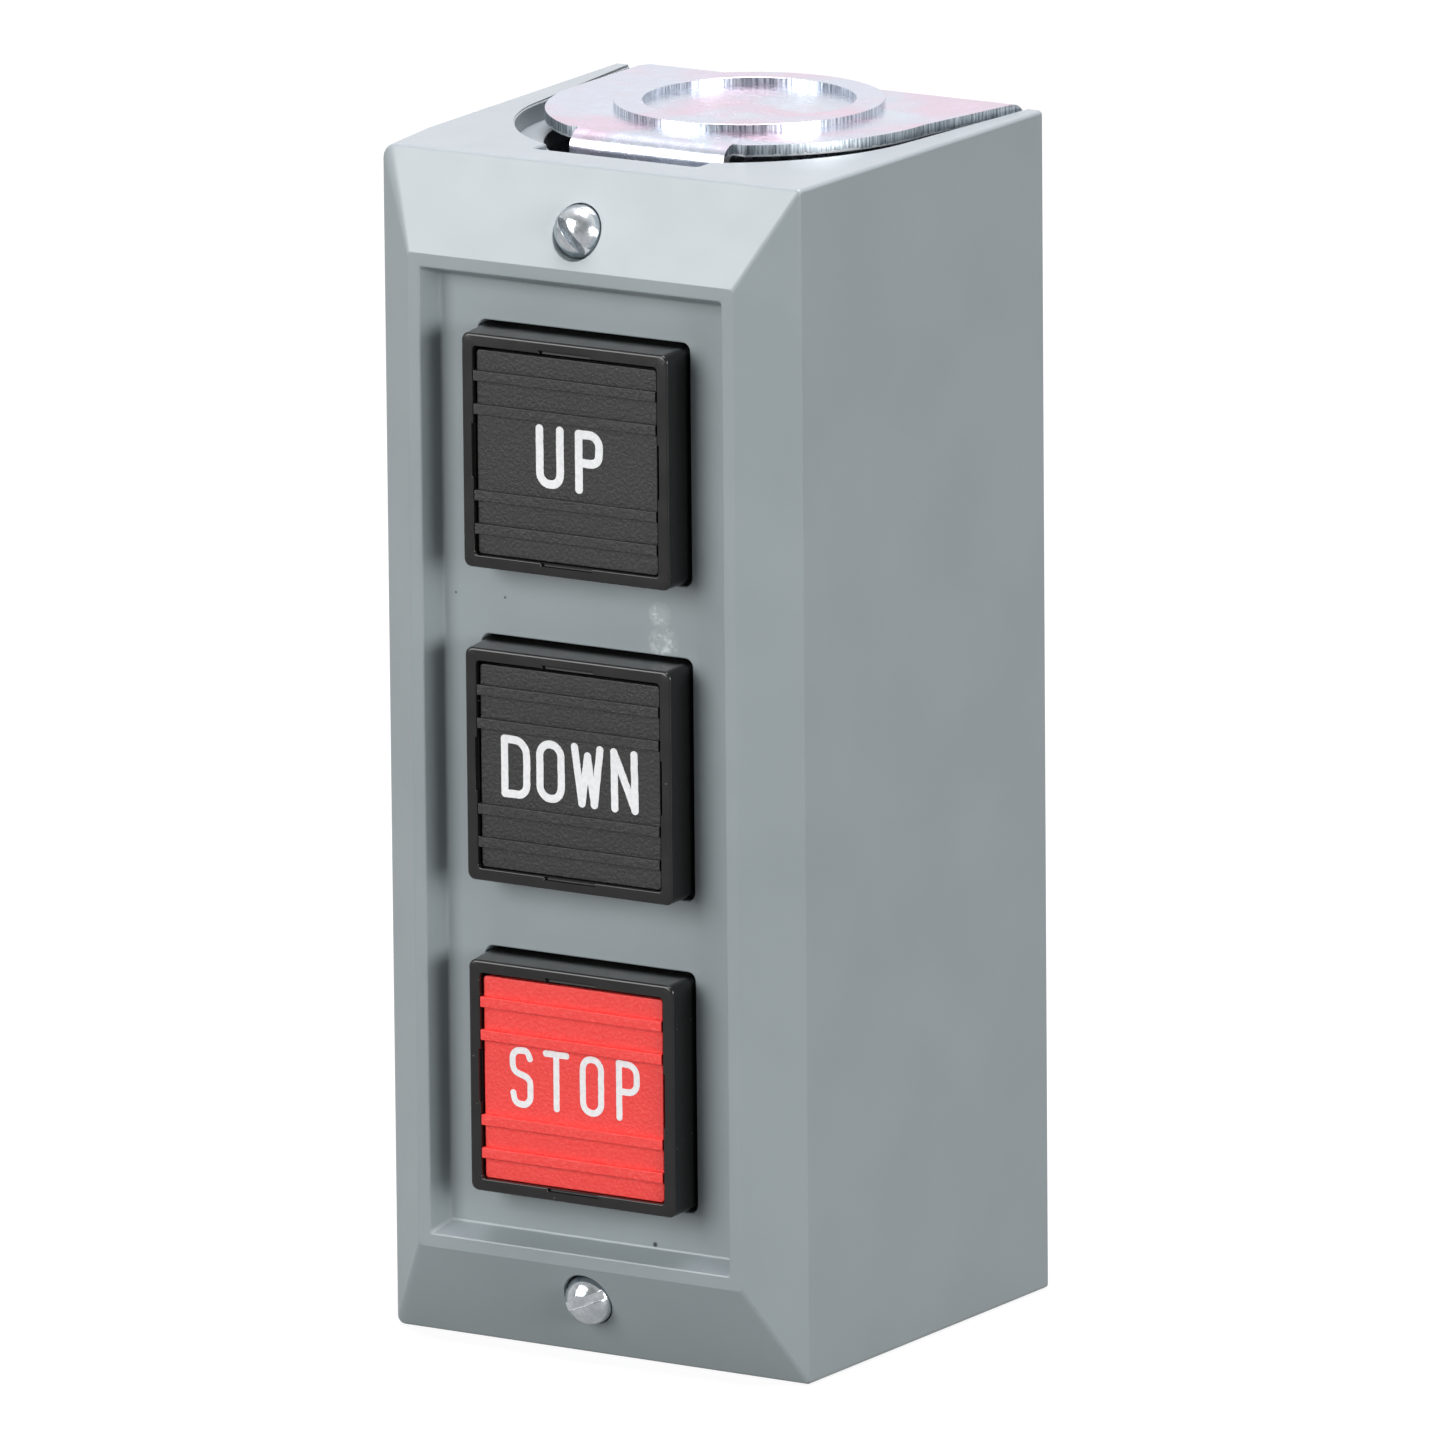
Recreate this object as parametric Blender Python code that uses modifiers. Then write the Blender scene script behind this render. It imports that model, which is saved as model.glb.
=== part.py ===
"""Pendant control station with three push buttons in a column.

A moulded cover closes over a bent steel back plate.  The back plate carries one contact block
behind each button.  Pressing a cap drives a plunger against its return spring and moves a
contact bridge on to, or away from, two fixed terminals.

Metres, +Z up, front towards -Y.  The origin is the centre of the object's box, on the surface
that the station stands on.
"""

import math

import bmesh
import bpy
from mathutils import Matrix, Vector

MM = 0.001

# ---------------------------------------------------------------- driving dimensions
CASE_W = 50.5 * MM           # outer width of the cover at its front edge
REAR_W = 52.3 * MM           # outer width at the rear rim, wider for the mould's draft
CASE_H = 125.7 * MM          # outer height of the cover at its front edge
TOP_RISE = 0.25 * MM         # how far the top rises to the rear rim
SIDE_D = 46.45 * MM          # rear rim to the front outer edge
BEVEL_D = 4.35 * MM          # depth of the sloping border
FRAME_W = 39.4 * MM          # raised frame, outside
FRAME_H = 105.4 * MM
FRAME_BAR = 1.45 * MM        # flat width of the raised frame
RECESS_D = 2.7 * MM          # frame face to button panel
RECESS_DRAFT = 0.95 * MM     # how far the recess walls lean in
CAP_PROUD = 1.15 * MM        # button face in front of the frame face

WALL = 1.6 * MM
END_WALL = 3.6 * MM          # top and bottom walls, which hold the flange pockets
PANEL_T = 2.5 * MM
EDGE_R = 0.4 * MM            # rounding of the moulded edges
GAP = 0.3 * MM               # left between pieces that touch

PITCH = 33.1 * MM            # button to button
CAP_SIZE = 24.8 * MM
CAP_CORNER = 0.9 * MM
CAP_GAP = 0.35 * MM          # cap to opening, all round

SHEET = 1.2 * MM             # back plate steel
FLANGE_RISE = 0.95 * MM      # top flange above the cover's top
FLANGE_SINK = 0.15 * MM      # bottom flange inside the cover's underside
KNOCKOUT_D = 15.45 * MM      # knockout centre, forward of the rear face
KNOCKOUT_OUTER_R = 14.1 * MM
KNOCKOUT_INNER_R = 11.1 * MM
KNOCKOUT_STEP = 0.77 * MM    # how far the ring is pressed out
FLANGE_R = 21.2 * MM
TAB_FRONT = 35.75 * MM       # front face of the screw tab, from the rear face
TAB_W = 18.6 * MM
SCREW_Z = 56.4 * MM          # cover screws, above and below the middle

# ---------------------------------------------------------------- worked out from them
DEPTH = SIDE_D + BEVEL_D + CAP_PROUD
MID_Z = CASE_H / 2
FRAME_FACE = SIDE_D + BEVEL_D
PANEL_FACE = FRAME_FACE - RECESS_D
PANEL_BACK = PANEL_FACE - PANEL_T
INNER_X = CASE_W / 2 - WALL
REAR_INNER_X = REAR_W / 2 - WALL
INNER_Z = CASE_H / 2 - END_WALL
PLATE_X = REAR_INNER_X - 0.35 * MM
FLANGE_TOP = CASE_H / 2 + FLANGE_RISE
FLANGE_BOTTOM = CASE_H / 2 - FLANGE_SINK
UNITS = (("up", PITCH), ("down", 0.0), ("stop", -PITCH))


def y_at(depth):
    """World Y of a point this far in front of the rear face."""
    return DEPTH / 2 - depth


# ---------------------------------------------------------------- scene and materials
for old in list(bpy.data.objects):
    bpy.data.objects.remove(old, do_unlink=True)

STATION = bpy.data.collections.new("pendant_control_station")
CUTTERS = bpy.data.collections.new("cutters")
bpy.context.scene.collection.children.link(STATION)
bpy.context.scene.collection.children.link(CUTTERS)


def material(name, colour, roughness, metallic=0.0):
    mat = bpy.data.materials.new(name)
    mat.use_nodes = True
    shader = mat.node_tree.nodes["Principled BSDF"]
    shader.inputs["Base Color"].default_value = (*colour, 1.0)
    shader.inputs["Roughness"].default_value = roughness
    shader.inputs["Metallic"].default_value = metallic
    return mat


GREY_PLASTIC = material("grey_plastic", (0.33, 0.37, 0.38), 0.35)
BLACK_PLASTIC = material("black_plastic", (0.035, 0.035, 0.037), 0.4)
RED_PLASTIC = material("red_plastic", (0.80, 0.07, 0.06), 0.45)
NATURAL_NYLON = material("natural_nylon", (0.72, 0.70, 0.62), 0.5)
PHENOLIC = material("phenolic", (0.05, 0.03, 0.02), 0.5)
ZINC_STEEL = material("zinc_plated_steel", (0.72, 0.74, 0.78), 0.3, 1.0)
SPRING_STEEL = material("spring_steel", (0.55, 0.56, 0.58), 0.3, 1.0)
BRASS = material("brass", (0.80, 0.60, 0.28), 0.3, 1.0)
GREEN_STEEL = material("green_steel", (0.05, 0.35, 0.12), 0.4, 0.3)


# ---------------------------------------------------------------- modelling helpers
def add_object(name, data, mat=None, collection=None, parent=None, location=(0, 0, 0)):
    obj = bpy.data.objects.new(name, data)
    (collection or STATION).objects.link(obj)
    obj.location = location
    obj.parent = parent
    if mat is not None:
        data.materials.clear()
        data.materials.append(mat)
    return obj


def shade(mesh, angle=math.radians(32)):
    mesh.shade_smooth()
    mesh.set_sharp_from_angle(angle=angle)
    return mesh


def mesh_from(obj):
    """The evaluated mesh of an object, which is then removed, in world space."""
    bpy.context.view_layer.update()
    evaluated = obj.evaluated_get(bpy.context.evaluated_depsgraph_get())
    mesh = bpy.data.meshes.new_from_object(evaluated)
    mesh.transform(obj.matrix_world)
    bpy.data.objects.remove(obj, do_unlink=True)
    bm = bmesh.new()
    bm.from_mesh(mesh)
    bmesh.ops.remove_doubles(bm, verts=bm.verts, dist=1e-7)
    bm.to_mesh(mesh)
    bm.free()
    return mesh


def box(x, depth, z):
    """A box from its (low, high) ranges, depth counted forward from the rear face."""
    low = Vector((x[0], y_at(depth[1]), z[0]))
    high = Vector((x[1], y_at(depth[0]), z[1]))
    bm = bmesh.new()
    place = Matrix.Translation((low + high) / 2) @ Matrix.Diagonal((*(high - low), 1))
    bmesh.ops.create_cube(bm, size=1, matrix=place)
    mesh = bpy.data.meshes.new("box")
    bm.to_mesh(mesh)
    bm.free()
    return mesh


def post(radius, depth, x=0.0, z=0.0, sides=24):
    """A cylinder along Y between two depths."""
    bm = bmesh.new()
    turn = Matrix.Translation((x, y_at(sum(depth) / 2), z)) @ Matrix.Rotation(math.pi / 2, 4, "X")
    bmesh.ops.create_cone(bm, cap_ends=True, segments=sides, radius1=radius, radius2=radius,
                          depth=depth[1] - depth[0], matrix=turn)
    mesh = bpy.data.meshes.new("post")
    bm.to_mesh(mesh)
    bm.free()
    return mesh


def prism(outline, low, high, along="Z"):
    """A flat outline with thickness: (x, y) points along Z, or (x, z) points along Y."""
    curve = bpy.data.curves.new("outline", "CURVE")
    curve.dimensions = "2D"
    curve.fill_mode = "BOTH"
    curve.extrude = (high - low) / 2
    spline = curve.splines.new("POLY")
    spline.points.add(len(outline) - 1)
    for point, (u, v) in zip(spline.points, outline):
        point.co = (u, v, 0, 1)
    spline.use_cyclic_u = True
    obj = add_object("outline", curve, collection=CUTTERS)
    middle = (low + high) / 2
    if along == "Z":
        obj.location = (0, 0, middle)
    else:
        obj.rotation_euler = (math.pi / 2, 0, 0)
        obj.location = (0, middle, 0)
    return mesh_from(obj)


def turned(profile, sides=24):
    """A body of revolution about Y from (radius, depth) points, front end first."""
    mesh = bpy.data.meshes.new("profile")
    points = [(radius, 0, depth) for radius, depth in profile]
    mesh.from_pydata(points, [(i, i + 1) for i in range(len(points) - 1)], [])
    obj = add_object("profile", mesh, collection=CUTTERS)
    screw = obj.modifiers.new("turn", "SCREW")
    screw.axis = "Z"
    screw.steps = sides
    screw.render_steps = sides
    screw.use_merge_vertices = True
    screw.merge_threshold = 0.00001
    screw.use_smooth_shade = True
    obj.rotation_euler = (math.pi / 2, 0, 0)
    obj.location = (0, y_at(0), 0)
    return mesh_from(obj)


def cut(obj, mesh, operation="DIFFERENCE", name="cut"):
    """A live Boolean on obj, whose cutter stays in its own collection."""
    cutter = add_object(f"{obj.name}_{name}", mesh, collection=CUTTERS)
    cutter.hide_render = True
    cutter.display_type = "WIRE"
    modifier = obj.modifiers.new(name, "BOOLEAN")
    modifier.operation = operation
    modifier.solver = "EXACT"
    modifier.object = cutter
    return cutter


def carve(mesh, steps):
    """A mesh after a list of (operation, mesh) Booleans, all applied."""
    obj = add_object("carved", mesh, collection=CUTTERS)
    cutters = [cut(obj, tool, operation) for operation, tool in steps]
    result = mesh_from(obj)
    for cutter in cutters:
        bpy.data.objects.remove(cutter, do_unlink=True)
    return result


def arc(centre, radius, start, end, steps):
    """Points on an arc, with angles in degrees."""
    angles = [math.radians(start + (end - start) * i / steps) for i in range(steps + 1)]
    return [(centre[0] + radius * math.cos(a), centre[1] + radius * math.sin(a)) for a in angles]


def rounded_square(side, corner, steps=3):
    """A square outline about the origin with round corners."""
    reach = side / 2 - corner
    points = []
    for turn, (sx, sz) in enumerate(((1, 1), (-1, 1), (-1, -1), (1, -1))):
        points += arc((sx * reach, sz * reach), corner, 90 * turn, 90 * turn + 90, steps)
    return points


def mirrored(half):
    """A closed outline from its +X half, whose points run from the rear to the front."""
    return half + [(-x, y) for x, y in reversed(half)]


# ---------------------------------------------------------------- cover
POCKET_R = 25.6 * MM         # front arc of the pocket, about the knockout centre
POCKET_D = 2.0 * MM
POCKET_REAR_X = 24.6 * MM
POCKET_SIDE_X = 21.6 * MM
POCKET_CORNER = (21.85 * MM, 23.55 * MM)
OPENING_R = 22.2 * MM        # opening in the pocket's floor
OPENING_X = 21.4 * MM
SLOT_X = 9.9 * MM            # slot that the screw tab passes through
SLOT_FRONT = 41.75 * MM
OPENING_FRONT = 38.55 * MM
OPENING_FRONT_X = 12.5 * MM

HEAD_R = 2.75 * MM           # cover screw, round head
HEAD_BAND = 1.0 * MM         # straight part of the head, under its dome
HEAD_DOME = 2.2 * MM
HEAD_SLOT_W = 0.95 * MM
HEAD_SLOT_D = 1.25 * MM
HEAD_HOLE_R = 2.9 * MM
HEAD_SEAT = 47.75 * MM
SCREW_TIP = 33.15 * MM
BOSS_R = 4.0 * MM
BOSS_REAR = TAB_FRONT + 0.4 * MM
BOSS_FRONT = 46.55 * MM
SHANK_R = 1.42 * MM
SHANK_HOLE_R = 1.75 * MM
RIB_D = 2.6 * MM             # stiffening ribs behind the panel, between the buttons
RIB_T = 1.6 * MM


def push_face(bm, face, width, height, depth):
    """Extrude a face that looks along Y, and give its new end a size and a place."""
    moved = bmesh.ops.extrude_discrete_faces(bm, faces=[face])["faces"][0]
    for vert in moved.verts:
        vert.co.x = math.copysign(width / 2, vert.co.x)
        vert.co.z = MID_Z + math.copysign(height / 2, vert.co.z - MID_Z)
        vert.co.y = y_at(depth)
    return moved


def cover_shell():
    """The cover's outside: sloping border, raised frame and recess."""
    mesh = box((-CASE_W / 2, CASE_W / 2), (0, SIDE_D), (0, CASE_H))
    bm = bmesh.new()
    bm.from_mesh(mesh)
    front = min(bm.faces, key=lambda f: f.calc_center_median().y)
    rear = max(bm.faces, key=lambda f: f.calc_center_median().y)
    for vert in rear.verts:
        vert.co.x = math.copysign(REAR_W / 2, vert.co.x)
        if vert.co.z > MID_Z:
            vert.co.z += TOP_RISE
    bar = 2 * FRAME_BAR
    lean = 2 * RECESS_DRAFT
    front = push_face(bm, front, FRAME_W, FRAME_H, FRAME_FACE)
    front = push_face(bm, front, FRAME_W - bar, FRAME_H - bar, FRAME_FACE)
    push_face(bm, front, FRAME_W - bar - lean, FRAME_H - bar - lean, PANEL_FACE)
    bm.to_mesh(mesh)
    bm.free()
    return mesh


def plan(points):
    """(x, depth) points as (x, y)."""
    return [(x, y_at(depth)) for x, depth in points]


def pocket_outline():
    """The pocket that clears the flange, open at the rear, with the tab's slot in front."""
    side = math.degrees(math.acos(POCKET_SIDE_X / POCKET_R))
    front = math.degrees(math.acos(SLOT_X / POCKET_R))
    bend = arc((0, KNOCKOUT_D), POCKET_R, side + 6, front, 10)
    half = [(POCKET_REAR_X, -MM), POCKET_CORNER, *bend, (SLOT_X, SLOT_FRONT)]
    return mirrored(plan(half))


def opening_outline():
    """The opening in the pocket's floor: under the flange, and forward to the tab's slot."""
    side = math.degrees(math.acos(OPENING_X / OPENING_R))
    front = math.degrees(math.acos(OPENING_FRONT_X / OPENING_R))
    bend = arc((0, KNOCKOUT_D), OPENING_R, side, front, 7)
    half = [(OPENING_X, -MM), *bend, (OPENING_FRONT_X, OPENING_FRONT),
            (SLOT_X, OPENING_FRONT), (SLOT_X, SLOT_FRONT - 0.05 * MM)]
    return mirrored(plan(half))


def make_cover():
    cover = add_object("cover", cover_shell(), GREY_PLASTIC)
    rounding = cover.modifiers.new("moulded_edges", "BEVEL")
    rounding.width = EDGE_R
    rounding.segments = 2
    rounding.limit_method = "ANGLE"
    rounding.angle_limit = math.radians(12)
    hollow = mirrored(plan([(REAR_INNER_X, -MM), (REAR_INNER_X, 0), (INNER_X, PANEL_BACK)]))
    cut(cover, prism(hollow, MID_Z - INNER_Z, MID_Z + INNER_Z), name="inside")
    for end, name in ((1, "top"), (-1, "bottom")):
        screw_z = MID_Z + end * SCREW_Z
        outer = MID_Z + end * (CASE_H / 2 + MM)
        floor = MID_Z + end * (CASE_H / 2 - POCKET_D)
        under = MID_Z + end * (INNER_Z - 0.5 * MM)
        boss = post(BOSS_R, (BOSS_REAR, BOSS_FRONT), z=screw_z)
        cut(cover, boss, "UNION", f"boss_{name}")
        cut(cover, prism(pocket_outline(), min(floor, outer), max(floor, outer)),
            name=f"pocket_{name}")
        cut(cover, prism(opening_outline(), min(under, outer), max(under, outer)),
            name=f"opening_{name}")
        sheet_end = MID_Z + end * (CASE_H / 2 - POCKET_D + 0.3 * MM)
        notch_x = REAR_INNER_X + 0.1 * MM
        notch = box((-notch_x, notch_x), (-MM, SHEET + 0.4 * MM),
                    (min(under, sheet_end), max(under, sheet_end)))
        cut(cover, notch, name=f"sheet_notch_{name}")
        head_hole = post(HEAD_HOLE_R, (HEAD_SEAT - GAP, DEPTH + MM), z=screw_z)
        cut(cover, head_hole, name=f"head_hole_{name}")
        screw_hole = post(SHANK_HOLE_R, (BOSS_REAR - MM, HEAD_SEAT + MM), z=screw_z, sides=16)
        cut(cover, screw_hole, name=f"screw_hole_{name}")
    rib_low = PANEL_BACK - RIB_D
    for name, z in (("upper", PITCH / 2), ("lower", -PITCH / 2)):
        rib = box((-INNER_X - 0.5 * MM, INNER_X + 0.5 * MM), (rib_low, PANEL_BACK + 0.5 * MM),
                  (MID_Z + z - RIB_T / 2, MID_Z + z + RIB_T / 2))
        cut(cover, rib, "UNION", f"rib_{name}")
    opening = rounded_square(CAP_SIZE + 2 * CAP_GAP, CAP_CORNER)
    for name, z in UNITS:
        outline = [(x, v + MID_Z + z) for x, v in opening]
        hole = prism(outline, y_at(DEPTH + MM), y_at(rib_low - MM), "Y")
        cut(cover, hole, name=f"{name}_opening")
    shade(cover.data)
    return cover


# ---------------------------------------------------------------- back plate
BEND_R = 2.0 * MM            # outside radius of the bends
FIXING_Z = 51.5 * MM         # wall fixing holes, above and below the middle
FIXING_R = 2.6 * MM
GROUND_X, GROUND_Z = 14.0 * MM, -53.5 * MM
GROUND_HOLE_R = 2.0 * MM
TAB_LOW = 50.6 * MM          # free end of a tab, from the middle
BLOCK_SCREW_X, BLOCK_SCREW_Z = 16.0 * MM, 9.4 * MM
BLOCK_SHANK_R = 1.5 * MM
BLOCK_HOLE_R = 1.85 * MM


def sheet_profile():
    """Side view of the bent sheet, as (depth, z) points on its outside, with round bends."""
    def bend(depth, z, start):
        return arc((depth, z), BEND_R, start, start + 90, 4)

    top = MID_Z + FLANGE_TOP - BEND_R
    bottom = MID_Z - FLANGE_BOTTOM + BEND_R
    front = TAB_FRONT - BEND_R
    points = [(TAB_FRONT, MID_Z + TAB_LOW)]
    points += bend(front, top, 0)
    points += bend(BEND_R, top, 90)
    points += bend(BEND_R, bottom, 180)
    points += bend(front, bottom, 270)
    points.append((TAB_FRONT, MID_Z - TAB_LOW))
    return points


def bent_sheet():
    """The sheet bent into a C as wide as the back, before its flanges are trimmed."""
    bm = bmesh.new()
    verts = [bm.verts.new((-PLATE_X, y_at(depth), z)) for depth, z in sheet_profile()]
    edges = [bm.edges.new(pair) for pair in zip(verts, verts[1:])]
    swept = bmesh.ops.extrude_edge_only(bm, edges=edges)["geom"]
    for item in swept:
        if isinstance(item, bmesh.types.BMVert):
            item.co.x = PLATE_X
    bmesh.ops.recalc_face_normals(bm, faces=bm.faces)
    mesh = bpy.data.meshes.new("sheet")
    bm.to_mesh(mesh)
    bm.free()
    return mesh


def flange_outline():
    """Plan of the plate: full width at the rear, round about the knockout, then the tab."""
    bend_line = TAB_FRONT - BEND_R
    reach = math.degrees(math.asin((bend_line - KNOCKOUT_D) / FLANGE_R))
    bend = arc((0, KNOCKOUT_D), FLANGE_R, 0, reach, 12)
    half = [(PLATE_X, -MM), *bend, (TAB_W / 2, bend_line), (TAB_W / 2, TAB_FRONT + MM)]
    return mirrored(plan(half))


def knockout_ring(inner, outer, low, high):
    """A washer about the knockout's axis."""
    profile = [(outer, high), (outer, low), (inner, low), (inner, high), (outer, high)]
    mesh = turned(profile, sides=40)
    mesh.transform(Matrix.Translation((0, y_at(KNOCKOUT_D), 0))
                   @ Matrix.Rotation(-math.pi / 2, 4, "X")
                   @ Matrix.Translation((0, -y_at(0), 0)))
    return mesh


def make_back_plate():
    plate = add_object("back_plate", bent_sheet(), ZINC_STEEL)
    skin = plate.modifiers.new("sheet", "SOLIDIFY")
    skin.thickness = SHEET
    skin.offset = -1
    skin.use_even_offset = True
    cut(plate, prism(flange_outline(), -5 * MM, CASE_H + 5 * MM), "INTERSECT", "trim")
    slack = 0.2 * MM
    ring_ends = ((MID_Z + FLANGE_TOP - SHEET, "top"), (MID_Z - FLANGE_BOTTOM, "bottom"))
    for base, name in ring_ends:
        ring = knockout_ring(KNOCKOUT_INNER_R, KNOCKOUT_OUTER_R, base + SHEET - slack,
                             base + SHEET + KNOCKOUT_STEP)
        groove = knockout_ring(KNOCKOUT_INNER_R + slack, KNOCKOUT_OUTER_R - slack,
                               base - slack, base + KNOCKOUT_STEP - slack)
        cut(plate, ring, "UNION", f"knockout_ring_{name}")
        cut(plate, groove, name=f"knockout_groove_{name}")
    through = (-MM, SHEET + MM)
    for end, name in ((1, "top"), (-1, "bottom")):
        tab_hole = post(SHANK_HOLE_R, (TAB_FRONT - SHEET - MM, TAB_FRONT + MM),
                        z=MID_Z + end * SCREW_Z, sides=16)
        cut(plate, tab_hole, name=f"tab_hole_{name}")
        fixing = post(FIXING_R, through, z=MID_Z + end * FIXING_Z)
        cut(plate, fixing, name=f"fixing_{name}")
    ground = post(GROUND_HOLE_R, through, GROUND_X, MID_Z + GROUND_Z, sides=16)
    cut(plate, ground, name="ground_hole")
    for name, z in UNITS:
        for side in (-1, 1):
            hole = post(BLOCK_HOLE_R, through, side * BLOCK_SCREW_X,
                        MID_Z + z - side * BLOCK_SCREW_Z, sides=12)
            cut(plate, hole, name=f"{name}_block_hole_{'left' if side < 0 else 'right'}")
    shade(plate.data)
    return plate


# ---------------------------------------------------------------- screws
def slotted(profile, slot_w, slot_depth, front, sides=24):
    """A turned screw with a screwdriver slot across its head."""
    reach = max(radius for radius, depth in profile) + MM
    slot = box((-reach, reach), (front - slot_depth, front + MM), (-slot_w / 2, slot_w / 2))
    return carve(turned(profile, sides), [("DIFFERENCE", slot)])


def dome(radius, height, seat, steps=4):
    """Profile of a round head, apex first, as (radius, depth)."""
    angles = [math.pi / 2 * (1 - i / steps) for i in range(steps + 1)]
    return [(radius * math.cos(a), seat + height * math.sin(a)) for a in angles]


def cover_screw():
    """Round head slotted screw.  Its thread is plain, at its outer size."""
    shoulder = HEAD_SEAT + HEAD_BAND
    apex = shoulder + HEAD_DOME
    point = 0.5 * MM
    profile = [*dome(HEAD_R, HEAD_DOME, shoulder), (HEAD_R, HEAD_SEAT), (SHANK_R, HEAD_SEAT),
               (SHANK_R, SCREW_TIP + point), (SHANK_R - point, SCREW_TIP), (0, SCREW_TIP)]
    profile[0] = (0, apex)
    return shade(slotted(profile, HEAD_SLOT_W, HEAD_SLOT_D, apex, sides=20))


def pan_screw(head_r, head_h, seat, shank_r, tip):
    """Pan head slotted screw for the terminals and the blocks."""
    profile = [(0, seat + head_h), (head_r - 0.6 * MM, seat + head_h),
               (head_r, seat + head_h - 0.6 * MM), (head_r, seat), (shank_r, seat),
               (shank_r, tip + 0.4 * MM), (shank_r - 0.4 * MM, tip), (0, tip)]
    return shade(slotted(profile, 0.9 * MM, 1.0 * MM, seat + head_h, sides=12))


def ground_screw():
    """Hexagon head on a round washer face, with a slot."""
    seat, head_h, tip = SHEET + GAP, 2.6 * MM, 0.2 * MM
    washer = [(0, seat + 0.8 * MM), (4.2 * MM, seat + 0.8 * MM), (4.2 * MM, seat),
              (1.6 * MM, seat), (1.6 * MM, tip), (0, tip)]
    hexagon = post(3.4 * MM, (seat + 0.4 * MM, seat + head_h), sides=6)
    slot = box((-5 * MM, 5 * MM), (seat + head_h - 1.1 * MM, seat + head_h + MM),
               (-0.5 * MM, 0.5 * MM))
    return carve(turned(washer, 20), [("UNION", hexagon), ("DIFFERENCE", slot)])


def turn_about_y(mesh, degrees):
    mesh.transform(Matrix.Rotation(math.radians(degrees), 4, "Y"))
    return mesh


# ---------------------------------------------------------------- button
CAP_FACE = DEPTH
INSERT_SINK = 0.5 * MM       # legend plate below the cap's rim
INSERT_T = 1.2 * MM
INSERT_SIDE = 21.7 * MM
INSERT_HOLE = 22.1 * MM
RIB_W = 1.05 * MM
RIB_PLACES = (-8.05 * MM, -4.55 * MM, 4.55 * MM, 8.05 * MM)
INSERT_POCKET_D = 2.0 * MM
CAP_WEB = 1.8 * MM
CAP_WALL = 1.5 * MM
LIP_FRONT = PANEL_BACK - 0.35 * MM
LIP_T = 1.4 * MM
LIP_SIDE = 27.6 * MM
SOCKET_SIDE = 12.6 * MM
SOCKET_WALL = 1.2 * MM
SOCKET_D = 2.4 * MM
PLUNGER_HEAD = 12.0 * MM
STEM = 7.0 * MM
STEM_REAR = 8.0 * MM
SPRING_FLANGE = 38.55 * MM   # rear face of the flange that the return spring pushes
SPRING_FLANGE_R = 7.0 * MM


def square_box(side, depth):
    return box((-side / 2, side / 2), depth, (-side / 2, side / 2))


def cap_mesh():
    """Square cap: a rim round the legend plate, a skirt, a lip that keeps it in the cover."""
    body = prism(rounded_square(CAP_SIZE, CAP_CORNER), y_at(CAP_FACE),
                 y_at(LIP_FRONT - LIP_T), "Y")
    lip = prism(rounded_square(LIP_SIDE, CAP_CORNER), y_at(LIP_FRONT),
                y_at(LIP_FRONT - LIP_T + 0.02 * MM), "Y")
    web_front = CAP_FACE - INSERT_POCKET_D
    web_rear = web_front - CAP_WEB
    pocket = square_box(INSERT_HOLE, (web_front, CAP_FACE + MM))
    open_end = LIP_FRONT - LIP_T - MM
    hollow = square_box(CAP_SIZE - 2 * CAP_WALL, (open_end, web_rear))
    socket = square_box(SOCKET_SIDE + 2 * SOCKET_WALL, (web_rear - SOCKET_D, web_rear + 0.2 * MM))
    inside = square_box(SOCKET_SIDE, (open_end, web_rear))
    return carve(body, [("UNION", lip), ("DIFFERENCE", pocket), ("DIFFERENCE", hollow),
                        ("UNION", socket), ("DIFFERENCE", inside)])


def legend_mesh():
    """Legend plate with four raised ribs across it."""
    face = CAP_FACE - INSERT_SINK
    plate = square_box(INSERT_SIDE, (face - INSERT_T, face))
    ribs = []
    for z in RIB_PLACES:
        rib = box((-INSERT_SIDE / 2 - 0.1 * MM, INSERT_SIDE / 2 + 0.1 * MM),
                  (face - 0.3 * MM, face + INSERT_SINK - 0.05 * MM),
                  (z - RIB_W / 2, z + RIB_W / 2))
        ribs.append(("UNION", rib))
    return carve(plate, ribs)


def plunger_mesh(window):
    """Plunger: head in the cap's socket, spring flange, stem with a window for the bridge."""
    head_front = CAP_FACE - INSERT_POCKET_D - CAP_WEB - GAP
    head = square_box(PLUNGER_HEAD, (head_front - 1.6 * MM, head_front))
    stem = square_box(STEM, (STEM_REAR, head_front - 0.2 * MM))
    flange = post(SPRING_FLANGE_R, (SPRING_FLANGE, SPRING_FLANGE + 1.2 * MM), sides=24)
    hole = box((-STEM, STEM), window, (-2.0 * MM, 2.0 * MM))
    return carve(stem, [("UNION", head), ("UNION", flange), ("DIFFERENCE", hole)])


def spring_curve(mean_r, wire_r, low, high, turns, per_turn, resolution):
    """A compression spring along Y with closed ends, between two depths."""
    curve = bpy.data.curves.new("spring", "CURVE")
    curve.dimensions = "3D"
    curve.bevel_depth = wire_r
    curve.bevel_resolution = resolution
    curve.use_fill_caps = True
    count = turns * per_turn
    start, length = low + wire_r, high - low - 2 * wire_r
    spline = curve.splines.new("POLY")
    spline.points.add(count)
    closed = 2.2 * wire_r / length      # share of the length that one closed end turn takes
    for i, point in enumerate(spline.points):
        turn = i / per_turn
        if turn < 1:
            share = closed * turn
        elif turn > turns - 1:
            share = 1 - closed * (turns - turn)
        else:
            share = closed + (1 - 2 * closed) * (turn - 1) / (turns - 2)
        angle = 2 * math.pi * turn
        point.co = (mean_r * math.cos(angle), y_at(start + share * length),
                    mean_r * math.sin(angle), 1)
    return curve


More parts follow.
